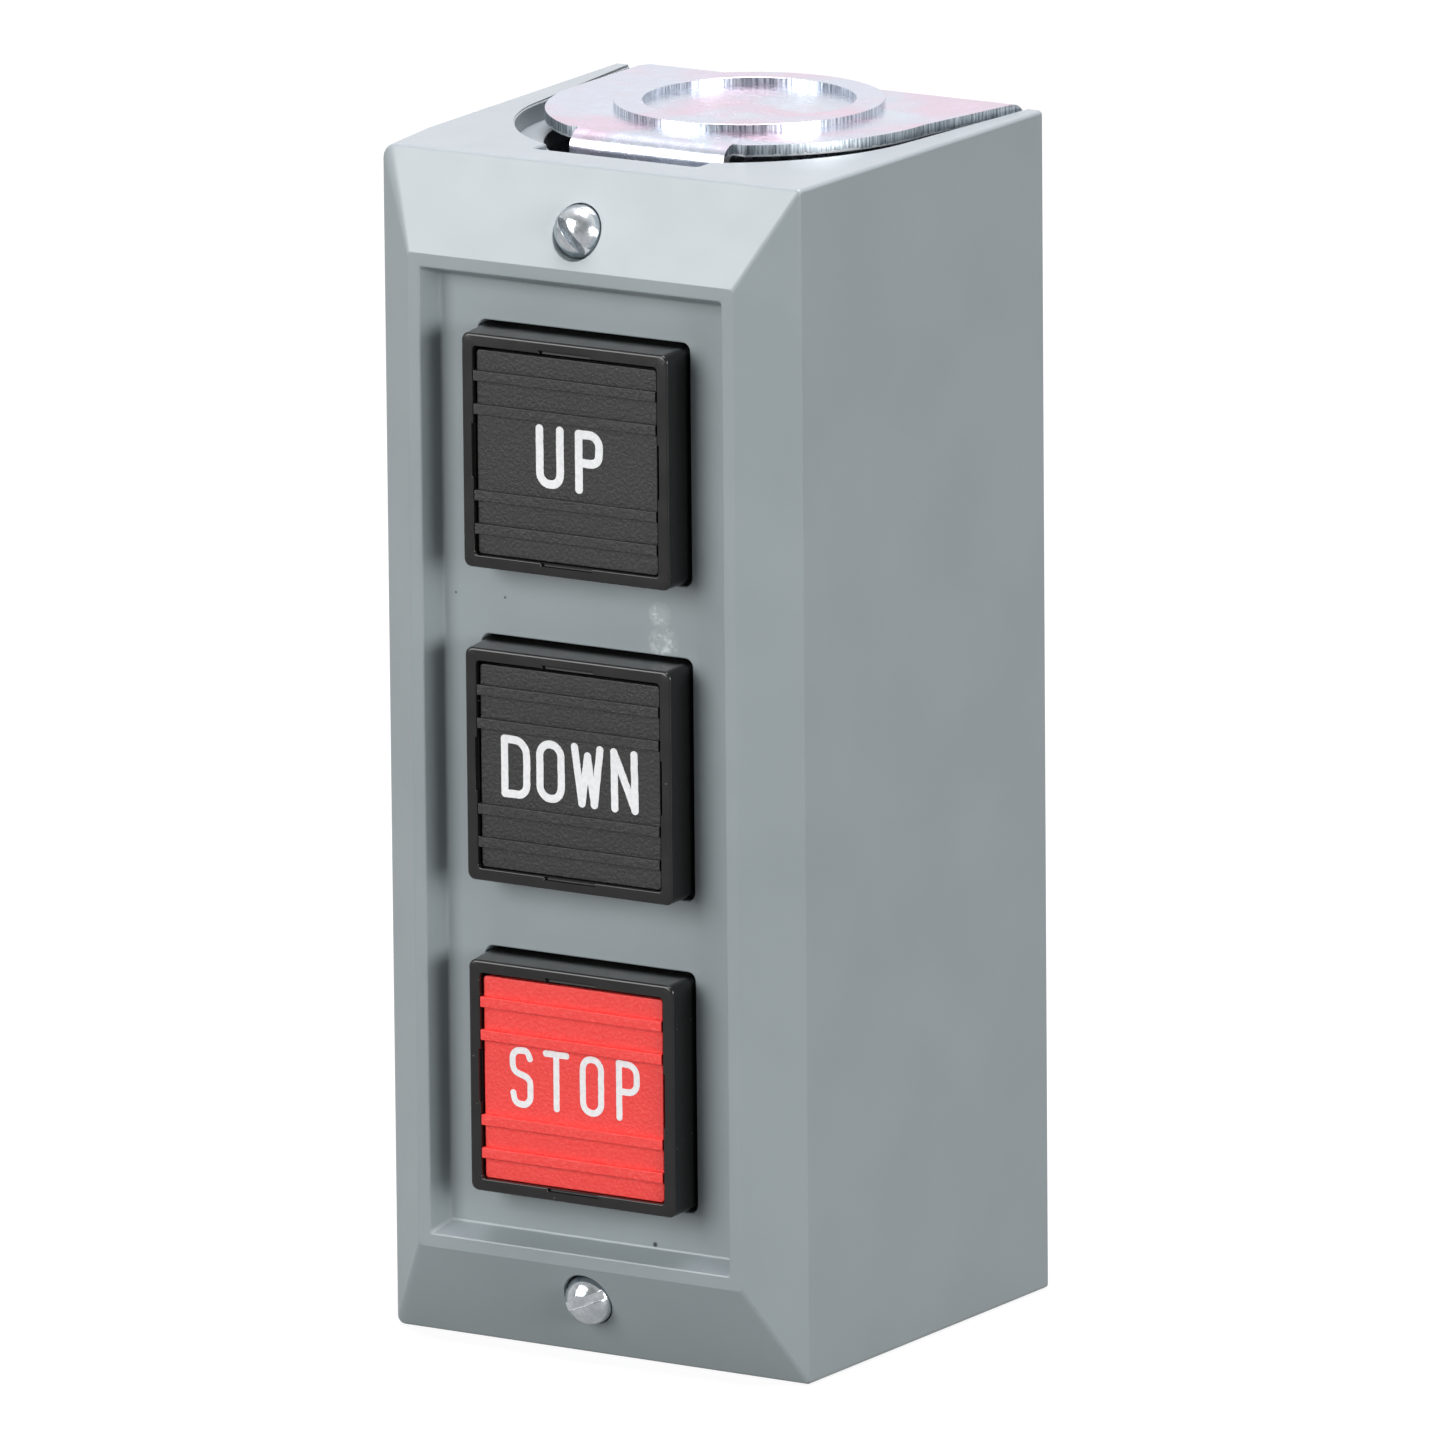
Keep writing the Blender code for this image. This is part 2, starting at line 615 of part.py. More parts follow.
# ---------------------------------------------------------------- contact block
BLOCK_X, BLOCK_Z = 20.5 * MM, 13.5 * MM
BLOCK_REAR = SHEET + GAP
SHOULDER = 14.0 * MM
TOWER_FRONT = 24.0 * MM
TOWER_X = 11.0 * MM
CHAMBER_X, CHAMBER_Z = 9.8 * MM, 4.5 * MM
CHAMBER = (4.5 * MM, 20.0 * MM)
GUIDE = STEM + 0.7 * MM
SPRING_R = 5.75 * MM
SPRING_WIRE_R = 0.45 * MM
SEAT_D = 0.9 * MM
COUNTERBORE_R = 3.1 * MM     # for the heads of the screws that hold a block
COUNTERBORE_REAR = 6.0 * MM
TERMINAL_X = 16.6 * MM       # terminal screw
TERMINAL_HOLE_REAR = 5.5 * MM
STRIP_T = 1.0 * MM
STRIP_Z = 4.0 * MM
STRIP_SEAT = SHOULDER + GAP
STRIP_END_X = 20.2 * MM
STRIP_INNER_X = 4.4 * MM
RIVET_X = 6.3 * MM
RIVET_R = 1.5 * MM
RIVET_H = 0.6 * MM
BRIDGE_X, BRIDGE_Z, BRIDGE_T = 7.6 * MM, 1.7 * MM, 0.8 * MM
BRIDGE_RIVET_R, BRIDGE_RIVET_H = 1.3 * MM, 0.5 * MM

# Normally open: the bridge waits in front of the strips.  Normally closed: behind them.
# Each entry gives the plunger's window, the strip's step, the bridge and its spring.
OPEN_CONTACT = {
    "window": (12.0 * MM, 18.6 * MM), "step_x": 8.6 * MM, "strip": 8.1 * MM, "face": 1,
    "bridge": 12.3 * MM, "spring": (13.35 * MM, 18.35 * MM),
}
CLOSED_CONTACT = {
    "window": (9.4 * MM, 16.3 * MM), "step_x": 12.3 * MM, "strip": 16.6 * MM, "face": -1,
    "bridge": 14.4 * MM, "spring": (9.7 * MM, 14.1 * MM),
}
CONTACTS = {"up": OPEN_CONTACT, "down": OPEN_CONTACT, "stop": CLOSED_CONTACT}


def block_mesh():
    """Contact block: a base with two terminal shoulders and a tower that guides the plunger."""
    body = box((-BLOCK_X, BLOCK_X), (BLOCK_REAR, SHOULDER), (-BLOCK_Z, BLOCK_Z))
    tower = box((-TOWER_X, TOWER_X), (SHOULDER - MM, TOWER_FRONT), (-BLOCK_Z, BLOCK_Z))
    steps = [("UNION", tower)]
    chamber = box((-CHAMBER_X, CHAMBER_X), CHAMBER, (-CHAMBER_Z, CHAMBER_Z))
    windows = box((-TOWER_X - MM, TOWER_X + MM), (SHOULDER, CHAMBER[1] - 0.02 * MM),
                  (-CHAMBER_Z + 0.02 * MM, CHAMBER_Z - 0.02 * MM))
    steps += [("DIFFERENCE", chamber), ("DIFFERENCE", windows)]
    steps.append(("DIFFERENCE", square_box(GUIDE, (CHAMBER[1] - MM, TOWER_FRONT + MM))))
    seat = post(SPRING_R + 0.9 * MM, (TOWER_FRONT - SEAT_D, TOWER_FRONT + MM), sides=24)
    steps.append(("DIFFERENCE", seat))
    for side in (-1, 1):
        x, z = side * BLOCK_SCREW_X, -side * BLOCK_SCREW_Z
        for tool in (
            post(BLOCK_HOLE_R, (0, SHOULDER), x, z, sides=12),
            post(COUNTERBORE_R, (COUNTERBORE_REAR, SHOULDER + MM), x, z, sides=16),
            post(BLOCK_HOLE_R, (TERMINAL_HOLE_REAR, SHOULDER + MM), side * TERMINAL_X, 0, sides=12),
        ):
            steps.append(("DIFFERENCE", tool))
    return carve(body, steps)


def strip_mesh(contact):
    """Right-hand terminal strip, stepped to the contact's level, with its contact rivet."""
    seat, level, step = STRIP_SEAT, contact["strip"], contact["step_x"]
    half = STRIP_T / 2 if level < seat else -STRIP_T / 2
    near, far = step + half, step - half
    outline = [(STRIP_END_X, seat), (near, seat), (near, level), (STRIP_INNER_X, level),
               (STRIP_INNER_X, level + STRIP_T), (far, level + STRIP_T),
               (far, seat + STRIP_T), (STRIP_END_X, seat + STRIP_T)]
    strip = prism(plan(outline), -STRIP_Z, STRIP_Z)
    if contact["face"] > 0:
        rivet_range = (level + 0.5 * MM, level + STRIP_T + RIVET_H)
    else:
        rivet_range = (level - RIVET_H, level + 0.5 * MM)
    rivet = post(RIVET_R, rivet_range, RIVET_X, sides=16)
    hole = post(BLOCK_HOLE_R, (seat - MM, seat + STRIP_T + MM), TERMINAL_X, sides=16)
    return carve(strip, [("UNION", rivet), ("DIFFERENCE", hole)])


def flipped(mesh):
    """The same piece turned half round about Y, for the other side of a block."""
    copy = mesh.copy()
    copy.transform(Matrix.Rotation(math.pi, 4, "Y"))
    return copy


def bridge_mesh(contact):
    """Contact bridge with a rivet at each end, on the side that meets the strips."""
    low = contact["bridge"]
    steps = []
    bar = box((-BRIDGE_X, BRIDGE_X), (low, low + BRIDGE_T), (-BRIDGE_Z, BRIDGE_Z))
    if contact["face"] > 0:
        rivet_range = (low - BRIDGE_RIVET_H, low + 0.4 * MM)
    else:
        rivet_range = (low + 0.4 * MM, low + BRIDGE_T + BRIDGE_RIVET_H)
    for side in (-1, 1):
        rivet = post(BRIDGE_RIVET_R, rivet_range, side * RIVET_X, sides=16)
        steps.append(("UNION", rivet))
    return carve(bar, steps)


# ---------------------------------------------------------------- assembly
def axis_empty(name, z):
    """A guide on a button's line of travel.  It isn't a piece of the object."""
    empty = bpy.data.objects.new(name, None)
    STATION.objects.link(empty)
    empty.location = (0, 0, z)
    return empty


def assemble():
    make_cover()
    make_back_plate()
    for name, end, angle in (("top", 1, 50), ("bottom", -1, -23)):
        screw = turn_about_y(cover_screw(), angle)
        add_object(f"cover_screw_{name}", screw, ZINC_STEEL, location=(0, 0, MID_Z + end * SCREW_Z))
    add_object("ground_screw", turn_about_y(ground_screw(), 25), GREEN_STEEL,
               location=(GROUND_X, 0, MID_Z + GROUND_Z))

    cap = cap_mesh()
    block = block_mesh()
    black_legend = legend_mesh()
    red_legend = black_legend.copy()
    terminal_screw = pan_screw(3.3 * MM, 2.2 * MM, STRIP_SEAT + STRIP_T + GAP, 1.5 * MM, 6.5 * MM)
    block_screw = pan_screw(2.75 * MM, 2.2 * MM, COUNTERBORE_REAR + GAP, BLOCK_SHANK_R, 0.2 * MM)
    return_spring = spring_curve(SPRING_R, SPRING_WIRE_R, TOWER_FRONT - SEAT_D + GAP,
                                 SPRING_FLANGE - GAP, 6, 12, 1)
    for name, z in UNITS:
        contact = CONTACTS[name]
        centre = (0, 0, MID_Z + z)
        axis = axis_empty(f"{name}_button_axis", MID_Z + z)
        legend, colour = (red_legend, RED_PLASTIC) if name == "stop" else (black_legend,
                                                                           BLACK_PLASTIC)
        add_object(f"{name}_cap", cap, BLACK_PLASTIC, parent=axis)
        add_object(f"{name}_legend", legend, colour, parent=axis)
        add_object(f"{name}_plunger", plunger_mesh(contact["window"]), NATURAL_NYLON, parent=axis)
        add_object(f"{name}_bridge", bridge_mesh(contact), BRASS, parent=axis)
        add_object(f"{name}_return_spring", return_spring, SPRING_STEEL, parent=axis)
        contact_spring = spring_curve(1.45 * MM, 0.2 * MM, *contact["spring"], 5, 8, 0)
        add_object(f"{name}_contact_spring", contact_spring, SPRING_STEEL, parent=axis)
        add_object(f"{name}_contact_block", block, PHENOLIC, location=centre)
        strip = strip_mesh(contact)
        for side, piece in (("right", strip), ("left", flipped(strip))):
            add_object(f"{name}_terminal_{side}", piece, BRASS, location=centre)
            sign = 1 if side == "right" else -1
            add_object(f"{name}_terminal_screw_{side}", terminal_screw, ZINC_STEEL,
                       location=(sign * TERMINAL_X, 0, MID_Z + z))
            add_object(f"{name}_block_screw_{side}", block_screw, ZINC_STEEL,
                       location=(sign * BLOCK_SCREW_X, 0, MID_Z + z - sign * BLOCK_SCREW_Z))


assemble()
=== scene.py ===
# %% [markdown]
# # A pendant control station, dressed
#
# A pendant control station hangs from, or is screwed near, a hoist. A moulded grey cover holds
# three square push buttons in a column, and closes over a zinc plated back plate whose top flange
# has a knockout for the conduit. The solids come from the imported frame. This lesson gives them
# their real edges, finishes and lettering, in millimetres measured forward of the rear rim.

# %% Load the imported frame
import math

import bmesh
import bpy
from mathutils import Matrix, Vector


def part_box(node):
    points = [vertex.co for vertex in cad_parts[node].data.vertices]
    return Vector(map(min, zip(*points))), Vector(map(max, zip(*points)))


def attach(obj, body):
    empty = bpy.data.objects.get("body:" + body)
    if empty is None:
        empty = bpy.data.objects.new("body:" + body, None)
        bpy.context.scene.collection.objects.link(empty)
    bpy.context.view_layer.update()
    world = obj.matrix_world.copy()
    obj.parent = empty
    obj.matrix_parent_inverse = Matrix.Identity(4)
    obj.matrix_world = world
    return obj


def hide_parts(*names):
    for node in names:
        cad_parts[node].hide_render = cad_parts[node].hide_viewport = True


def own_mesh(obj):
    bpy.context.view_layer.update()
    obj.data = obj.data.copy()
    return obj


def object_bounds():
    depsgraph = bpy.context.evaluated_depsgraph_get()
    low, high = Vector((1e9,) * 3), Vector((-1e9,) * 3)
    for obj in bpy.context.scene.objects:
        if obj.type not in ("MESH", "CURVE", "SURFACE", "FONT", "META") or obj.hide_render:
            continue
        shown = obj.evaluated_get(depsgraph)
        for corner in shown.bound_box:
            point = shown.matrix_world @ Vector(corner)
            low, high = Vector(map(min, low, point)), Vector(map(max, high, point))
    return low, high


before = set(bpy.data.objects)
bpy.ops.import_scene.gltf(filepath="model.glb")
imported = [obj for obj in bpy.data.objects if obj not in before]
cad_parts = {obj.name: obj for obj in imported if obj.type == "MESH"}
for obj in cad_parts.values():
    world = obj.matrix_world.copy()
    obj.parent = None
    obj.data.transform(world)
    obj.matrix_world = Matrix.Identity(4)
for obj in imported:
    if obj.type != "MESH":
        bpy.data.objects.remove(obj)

CAD_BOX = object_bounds()
print("CAD box, mm:", [[round(1000 * v, 2) for v in corner] for corner in CAD_BOX])

# %% [markdown]
# ## Places
#
# The cover's own box says where the station stands. A point is given as x to the right, depth
# forward of the rear rim, and z above the cover's middle, all in millimetres. One function turns
# that into metres in the frame, so every piece lands where its solid is.

# %% Places
MM = 0.001
COVER_LOW, COVER_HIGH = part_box("cover")
REAR_Y = COVER_HIGH.y
HALF_HEIGHT = 62.85              # of the cover at its front edge
MID_Z = COVER_LOW.z + HALF_HEIGHT * MM
UNITS = ("up", "down", "stop")
UNIT_Z = {}
for unit in UNITS:
    low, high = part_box(f"{unit}_cap")
    UNIT_Z[unit] = ((low.z + high.z) / 2 - MID_Z) / MM
print("button heights above the middle:", {k: round(v, 2) for k, v in UNIT_Z.items()})


def place(x, depth, z):
    return Vector((x * MM, REAR_Y - depth * MM, MID_Z + z * MM))


# %% [markdown]
# ## Small helpers
#
# Colours are written as sRGB hex values, which is how paint and plastic charts give them, and one
# function turns them to the linear values that the shader works in. One function adds a node with
# its settings and links, for materials and for geometry alike. Where a node is given as an input,
# its output that is in use is linked.

# %% Colour and node helpers
def linear(hex_code):
    values = [int(hex_code[i:i + 2], 16) / 255 for i in (1, 3, 5)]
    return (*[v / 12.92 if v <= 0.04045 else ((v + 0.055) / 1.055) ** 2.4 for v in values], 1.0)


def feed(node, inputs):
    """Give a node its inputs: values, sockets, whole nodes, or a list of these for one socket."""
    for key, given in inputs.items():
        for value in given if isinstance(given, list) else [given]:
            if isinstance(value, bpy.types.Node):
                value = next(socket for socket in value.outputs if socket.enabled)
            if isinstance(value, bpy.types.NodeSocket):
                node.id_data.links.new(value, node.inputs[key])
            else:
                node.inputs[key].default_value = value


def add(tree, kind, inputs=None, **settings):
    """Add a node with its settings, then its inputs."""
    node = tree.nodes.new(kind)
    for key, value in settings.items():
        setattr(node, key, value)
    feed(node, inputs or {})
    return node


print("mid grey #969EA0 is", [round(v, 3) for v in linear("#969EA0")])

# %% [markdown]
# ## Camera
#
# A long lens stands about two metres away, a little above the station and to its right, so that
# the front, the right side and the top all show with almost parallel edges.

# %% Camera
CAMERA_TURN = math.radians(31.8411)     # to the right of the front
CAMERA_RISE = math.radians(12.9844)
CAMERA_ROLL = math.radians(-0.5040)
CAMERA_DISTANCE = 2.10342
CAMERA_AIM = Vector((0.0010898, 0.002425, 0.062752))
CAMERA_LENS = 504.11

back = Vector((math.sin(CAMERA_TURN) * math.cos(CAMERA_RISE),
               -math.cos(CAMERA_TURN) * math.cos(CAMERA_RISE), math.sin(CAMERA_RISE)))
right = Vector((math.cos(CAMERA_TURN), math.sin(CAMERA_TURN), 0))
up = back.cross(right)
camera_x = right * math.cos(CAMERA_ROLL) + up * math.sin(CAMERA_ROLL)
camera_y = up * math.cos(CAMERA_ROLL) - right * math.sin(CAMERA_ROLL)
camera = bpy.data.objects.new("camera", bpy.data.cameras.new("camera"))
bpy.context.scene.collection.objects.link(camera)
camera.data.lens = CAMERA_LENS
camera.data.sensor_width = 36
camera.data.clip_end = 50
turn = Matrix((camera_x, camera_y, back)).transposed().to_4x4()
camera.matrix_world = Matrix.Translation(CAMERA_AIM + back * CAMERA_DISTANCE) @ turn
bpy.context.scene.camera = camera
bpy.context.scene.view_settings.view_transform = "Standard"
print("camera stands at", [round(v, 3) for v in camera.location])

# %% [markdown]
# ## Light and floor
#
# A light tent gives this kind of picture: white walls, with soft lamps behind them. The main one
# stands to the left of the front and is large, so its shadows have wide soft edges. A second one
# lights the side, and a third hangs just behind the top, and hardly reaches the front. The world
# is white to the camera and nearly dark as a lamp, which keeps the recess as deep as it is. Metal
# mirrors it: white behind the station, and dim in front, where the tent is open to the room. The
# floor throws little light back up, and still takes a shadow.

# %% Light and floor
def soft_lamp(name, turn, rise, size, watts, colour=(1, 1, 1), distance=1.4,
              aim=Vector((0, 0, 0.06))):
    """A rectangular lamp: turn in degrees to the right of the front, rise above the floor."""
    turn, rise = math.radians(turn), math.radians(rise)
    towards = Vector((math.sin(turn) * math.cos(rise), -math.cos(turn) * math.cos(rise),
                      math.sin(rise)))
    lamp = bpy.data.lights.new(name, "AREA")
    lamp.shape = "RECTANGLE"
    lamp.size, lamp.size_y = size
    lamp.energy = watts
    lamp.color = colour
    obj = bpy.data.objects.new(name, lamp)
    bpy.context.scene.collection.objects.link(obj)
    obj.location = aim + towards * distance
    obj.rotation_euler = (-towards).to_track_quat("-Z", "Y").to_euler()
    return obj


def seen_directly(tree, mirror_level):
    """1 for the camera and glass, a level for mirrors, 0 for rays that carry light."""
    path = add(tree, "ShaderNodeLightPath").outputs
    mirrored = add(tree, "ShaderNodeMath", {0: path["Is Glossy Ray"], 1: mirror_level},
                   operation="MULTIPLY")
    first = add(tree, "ShaderNodeMath", {0: path["Is Camera Ray"], 1: mirrored},
                operation="MAXIMUM")
    return add(tree, "ShaderNodeMath", {0: first, 1: path["Is Transmission Ray"]},
               operation="MAXIMUM")


WORLD_FILL = 0.04
TENT_MIRRORED, ROOM_MIRRORED, FLOOR_MIRRORED = 0.9, 0.3, 0.42
world = bpy.data.worlds.new("light_tent")
bpy.context.scene.world = world
world.use_nodes = True
tree = world.node_tree
tree.nodes.clear()
towards = add(tree, "ShaderNodeTexCoord").outputs["Object"]
rearward = add(tree, "ShaderNodeSeparateXYZ", {0: towards}).outputs["Y"]
mirrored = add(tree, "ShaderNodeMapRange",
               {0: rearward, 1: -0.7, 2: 0.1, 3: ROOM_MIRRORED, 4: TENT_MIRRORED})
strength = add(tree, "ShaderNodeMapRange", {0: seen_directly(tree, mirrored), 3: WORLD_FILL})
shell = add(tree, "ShaderNodeBackground", {0: (1, 1, 1, 1), 1: strength})
add(tree, "ShaderNodeOutputWorld", {0: shell})

soft_lamp("front_left_lamp", -29, 20, (0.85, 1.0), 16.5)
soft_lamp("right_lamp", 75, 9, (0.7, 0.45), 13)
soft_lamp("top_lamp", 180, 87, (0.8, 0.7), 31, (1.0, 0.935, 0.98))

FLOOR_HALF = 4.0
FLOOR_BELOW = 0.0001
FLOOR_GREY = 0.12
FLOOR_GLOW = 0.9
floor_mesh = bpy.data.meshes.new("floor")
bm = bmesh.new()
bmesh.ops.create_grid(bm, x_segments=4, y_segments=4, size=FLOOR_HALF)
bm.to_mesh(floor_mesh)
bm.free()
floor = bpy.data.objects.new("floor", floor_mesh)
bpy.context.scene.collection.objects.link(floor)
floor.location = (0, 0, CAD_BOX[0].z - FLOOR_BELOW)
floor_paint = bpy.data.materials.new("matt_white_floor")
floor_paint.use_nodes = True
tree = floor_paint.node_tree
tree.nodes.clear()
matt = add(tree, "ShaderNodeBsdfDiffuse", {0: (FLOOR_GREY, FLOOR_GREY, FLOOR_GREY, 1)})
level = add(tree, "ShaderNodeMath", {0: seen_directly(tree, FLOOR_MIRRORED), 1: FLOOR_GLOW},
            operation="MULTIPLY")
glow = add(tree, "ShaderNodeEmission", {0: (1, 1, 1, 1), 1: level})
paint = add(tree, "ShaderNodeAddShader", {0: matt, 1: glow})
add(tree, "ShaderNodeOutputMaterial", {0: paint})
floor_mesh.materials.append(floor_paint)

# %% [markdown]
# ## Shapes from loops
#
# Nearly every moulded piece here has a rectangular or round section that changes with depth. Such
# a shape is a stack of closed loops with the same number of points, joined by quads and closed at
# both ends. The rounding of an edge is simply a few more loops, so it has its real radius, and a
# loop may go forward and back again to form a pocket.

# %% Loop helpers
ARC_STEPS = 5


def rounded_path(points, radii, steps=ARC_STEPS):
    """A polyline whose inner corners are arcs.  A radius of 0 keeps the corner."""
    path = [Vector(points[0])]
    for before, corner, after, radius in zip(points, points[1:], points[2:], radii):
        corner = Vector(corner)
        a = (Vector(before) - corner).normalized()
        b = (Vector(after) - corner).normalized()
        if radius == 0 or abs(a.cross(b)) < 1e-6:
            path.append(corner)
            continue
        half = a.angle(b) / 2
        centre = corner + (a + b).normalized() * radius / math.sin(half)
        start = corner + a * radius / math.tan(half) - centre
        end = corner + b * radius / math.tan(half) - centre
        sweep = math.atan2(start.cross(end), start.dot(end))
        for i in range(steps + 1):
            path.append(centre + Matrix.Rotation(sweep * i / steps, 2) @ start)
    path.append(Vector(points[-1]))
    return path


def rectangle_loop(half_x, half_z, depth, radii, at=(0, 0), depth_z=None, steps=ARC_STEPS):
    """A rounded rectangle, seen from the front.  Corners run top right, top left, bottom left,
    bottom right.  Its top and bottom may lie at a depth of their own."""
    depth_z = depth if depth_z is None else depth_z
    radii = radii if isinstance(radii, (tuple, list)) else (radii,) * 4
    loop = []
    for quarter, (sx, sz) in enumerate(((1, 1), (-1, 1), (-1, -1), (1, -1))):
        radius = max(radii[quarter], 0.02)
        for i in range(steps + 1):
            angle = math.pi / 2 * (quarter + i / steps)
            share = i / steps if quarter % 2 == 0 else 1 - i / steps
            loop.append(place(at[0] + sx * (half_x - radius) + radius * math.cos(angle),
                              depth + (depth_z - depth) * share,
                              at[1] + sz * (half_z - radius) + radius * math.sin(angle)))
    return loop


def round_loop(radius, depth, at=(0, 0), sides=48):
    return [place(at[0] + radius * math.cos(math.tau * i / sides), depth,
                  at[1] + radius * math.sin(math.tau * i / sides)) for i in range(sides)]


def loft(loops):
    """A closed mesh through a stack of loops."""
    bm = bmesh.new()
    rings = [[bm.verts.new(point) for point in loop] for loop in loops]
    for near, far in zip(rings, rings[1:]):
        for i in range(len(near)):
            j = (i + 1) % len(near)
            bm.faces.new((near[i], near[j], far[j], far[i]))
    bm.faces.new(rings[0])
    bm.faces.new(rings[-1])
    bmesh.ops.recalc_face_normals(bm, faces=bm.faces)
    mesh = bpy.data.meshes.new("loft")
    bm.to_mesh(mesh)
    bm.free()
    return mesh


def temporary(mesh):
    obj = bpy.data.objects.new("temporary", mesh)
    bpy.context.scene.collection.objects.link(obj)
    return obj


def plain_mesh(obj, weld=2e-6):
    """The mesh that an object's modifiers give.  The object is then removed."""
    bpy.context.view_layer.update()
    mesh = bpy.data.meshes.new_from_object(
        obj.evaluated_get(bpy.context.evaluated_depsgraph_get()))
    bpy.data.objects.remove(obj)
    bm = bmesh.new()
    bm.from_mesh(mesh)
    bmesh.ops.remove_doubles(bm, verts=bm.verts, dist=weld)
    bm.to_mesh(mesh)
    bm.free()
    return mesh


def carve(mesh, steps):
    """A mesh after a list of Boolean steps, each an operation and a tool mesh."""
    obj = temporary(mesh)
    tools = []
    for operation, tool in steps:
        tools.append(temporary(tool))
        modifier = obj.modifiers.new("carve", "BOOLEAN")
        modifier.operation = operation
        modifier.solver = "EXACT"
        modifier.object = tools[-1]
    result = plain_mesh(obj)
    for tool in tools:
        bpy.data.objects.remove(tool)
    return result


def open_edges(mesh):
    bm = bmesh.new()
    bm.from_mesh(mesh)
    count = sum(not edge.is_manifold for edge in bm.edges)
    bm.free()
    return count


print("a filleted corner:", [tuple(round(v, 2) for v in p) for p in
                             rounded_path([(0, 0), (2, 0), (2, 2)], [0.5], 2)])

# %% [markdown]
# ## Finished pieces
#
# A piece gets smooth shading with its true edges kept sharp, and normals weighted by face area,
# so that a large flat wall stays flat right up to its small rounding. It then rides on a CAD
# body, and hides the solids it stands for.

# %% Finish a piece
PIECES = []


def piece(name, mesh, materials, body, nodes, sharp=40):
    finish_of = [min(polygon.material_index, len(materials) - 1) for polygon in mesh.polygons]
    mesh.materials.clear()           # this also forgets which polygon has which finish
    for material in materials:
        mesh.materials.append(material)
    mesh.polygons.foreach_set("material_index", finish_of)
    mesh.shade_smooth()
    mesh.set_sharp_from_angle(angle=math.radians(sharp))
    source = temporary(mesh)
    source.modifiers.new("weighted", "WEIGHTED_NORMAL").keep_sharp = True
    bpy.context.view_layer.update()
    final = bpy.data.meshes.new_from_object(
        source.evaluated_get(bpy.context.evaluated_depsgraph_get()))
    bpy.data.objects.remove(source)
    final.name = name
    obj = bpy.data.objects.new(name, final)
    bpy.context.scene.collection.objects.link(obj)
    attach(obj, body)
    if nodes:
        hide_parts(*nodes)
    PIECES.append(obj)
    triangles = sum(len(p.vertices) - 2 for p in final.polygons)
    print(f"{name}: {triangles} triangles, {open_edges(final)} open edges, rides on {body}")
    return obj


# %% [markdown]
# ## Moulded grey cover: ABS
#
# The cover is injection moulded ABS in machine grey. Out of the mould it is semi-gloss: a sharp
# lamp gives a soft-edged highlight, and the panel shows blurred reflections of the buttons. Close
# up, its gloss is a little uneven and the surface has a faint orange peel.

# %% Grey ABS
ABS_IOR = 1.53


def millimetres(size):
    """The scale that gives a pattern features of this size, in millimetres."""
    return 1 / (size * MM)


def new_material(name, colour, roughness, ior=1.5, metallic=0.0):
    """A material, its tree, its shader, and the place on the object that patterns start from."""
    material = bpy.data.materials.new(name)
    material.use_nodes = True
    material.diffuse_color = linear(colour)
    tree = material.node_tree
    shader = tree.nodes["Principled BSDF"]
    feed(shader, {"Base Color": linear(colour), "Roughness": roughness, "IOR": ior,
                  "Metallic": metallic})
    return material, tree, shader, add(tree, "ShaderNodeTexCoord").outputs["Object"]


# Handling marks: place, reach in mm, least cover (a rub is patchy, a chip is not), and colour.
SCUFFS = [(8.9, 48.1, 17.0, 1.5, 0.25, "#CDD5D6"),
          (9.3, 48.1, 14.0, 2.0, 0.2, "#CDD5D6"),
          (7.6, 48.1, -49.8, 0.35, 1.0, "#23282A"),
          (-15.9, 48.1, 16.7, 0.18, 1.0, "#4A5254"),
          (-9.9, 48.1, 16.8, 0.18, 1.0, "#3A4143")]
GREY_ABS, tree, shader, where = new_material("moulded_grey_abs", "#959FA2", 0.32, ABS_IOR)
cloud = add(tree, "ShaderNodeTexNoise", {"Vector": where, "Scale": millimetres(14), "Detail": 3})
share = add(tree, "ShaderNodeMapRange", {0: cloud, 1: 0.35, 2: 0.65})
tint = add(tree, "ShaderNodeMix", {0: share, 6: linear("#939DA0"), 7: linear("#97A1A4")},
           data_type="RGBA")
flecks = add(tree, "ShaderNodeTexNoise", {"Vector": where, "Scale": millimetres(0.9), "Detail": 5,
                                          "Roughness": 0.7})
rubbed = add(tree, "ShaderNodeMapRange", {0: flecks, 1: 0.42, 2: 0.6})
for x, depth, z, reach, least, colour in SCUFFS:
    away = add(tree, "ShaderNodeVectorMath", {0: where, 1: place(x, depth, z)},
               operation="DISTANCE")
    near = add(tree, "ShaderNodeMapRange", {0: away, 1: reach * MM, 2: 0.4 * reach * MM})
    patchy = add(tree, "ShaderNodeMath", {0: rubbed, 1: least}, operation="MAXIMUM")
    amount = add(tree, "ShaderNodeMath", {0: near, 1: patchy}, operation="MULTIPLY")
    tint = add(tree, "ShaderNodeMix", {0: amount, 6: tint, 7: linear(colour)}, data_type="RGBA")
patches = add(tree, "ShaderNodeTexNoise", {"Vector": where, "Scale": millimetres(5), "Detail": 3})
gloss = add(tree, "ShaderNodeMapRange", {0: patches, 1: 0.3, 2: 0.7, 3: 0.28, 4: 0.35})
peel = add(tree, "ShaderNodeTexNoise", {"Vector": where, "Scale": millimetres(1.4), "Detail": 1})
relief = add(tree, "ShaderNodeBump", {"Height": peel, "Distance": 0.003 * MM})
feed(shader, {"Base Color": tint, "Roughness": gloss, "Normal": relief})

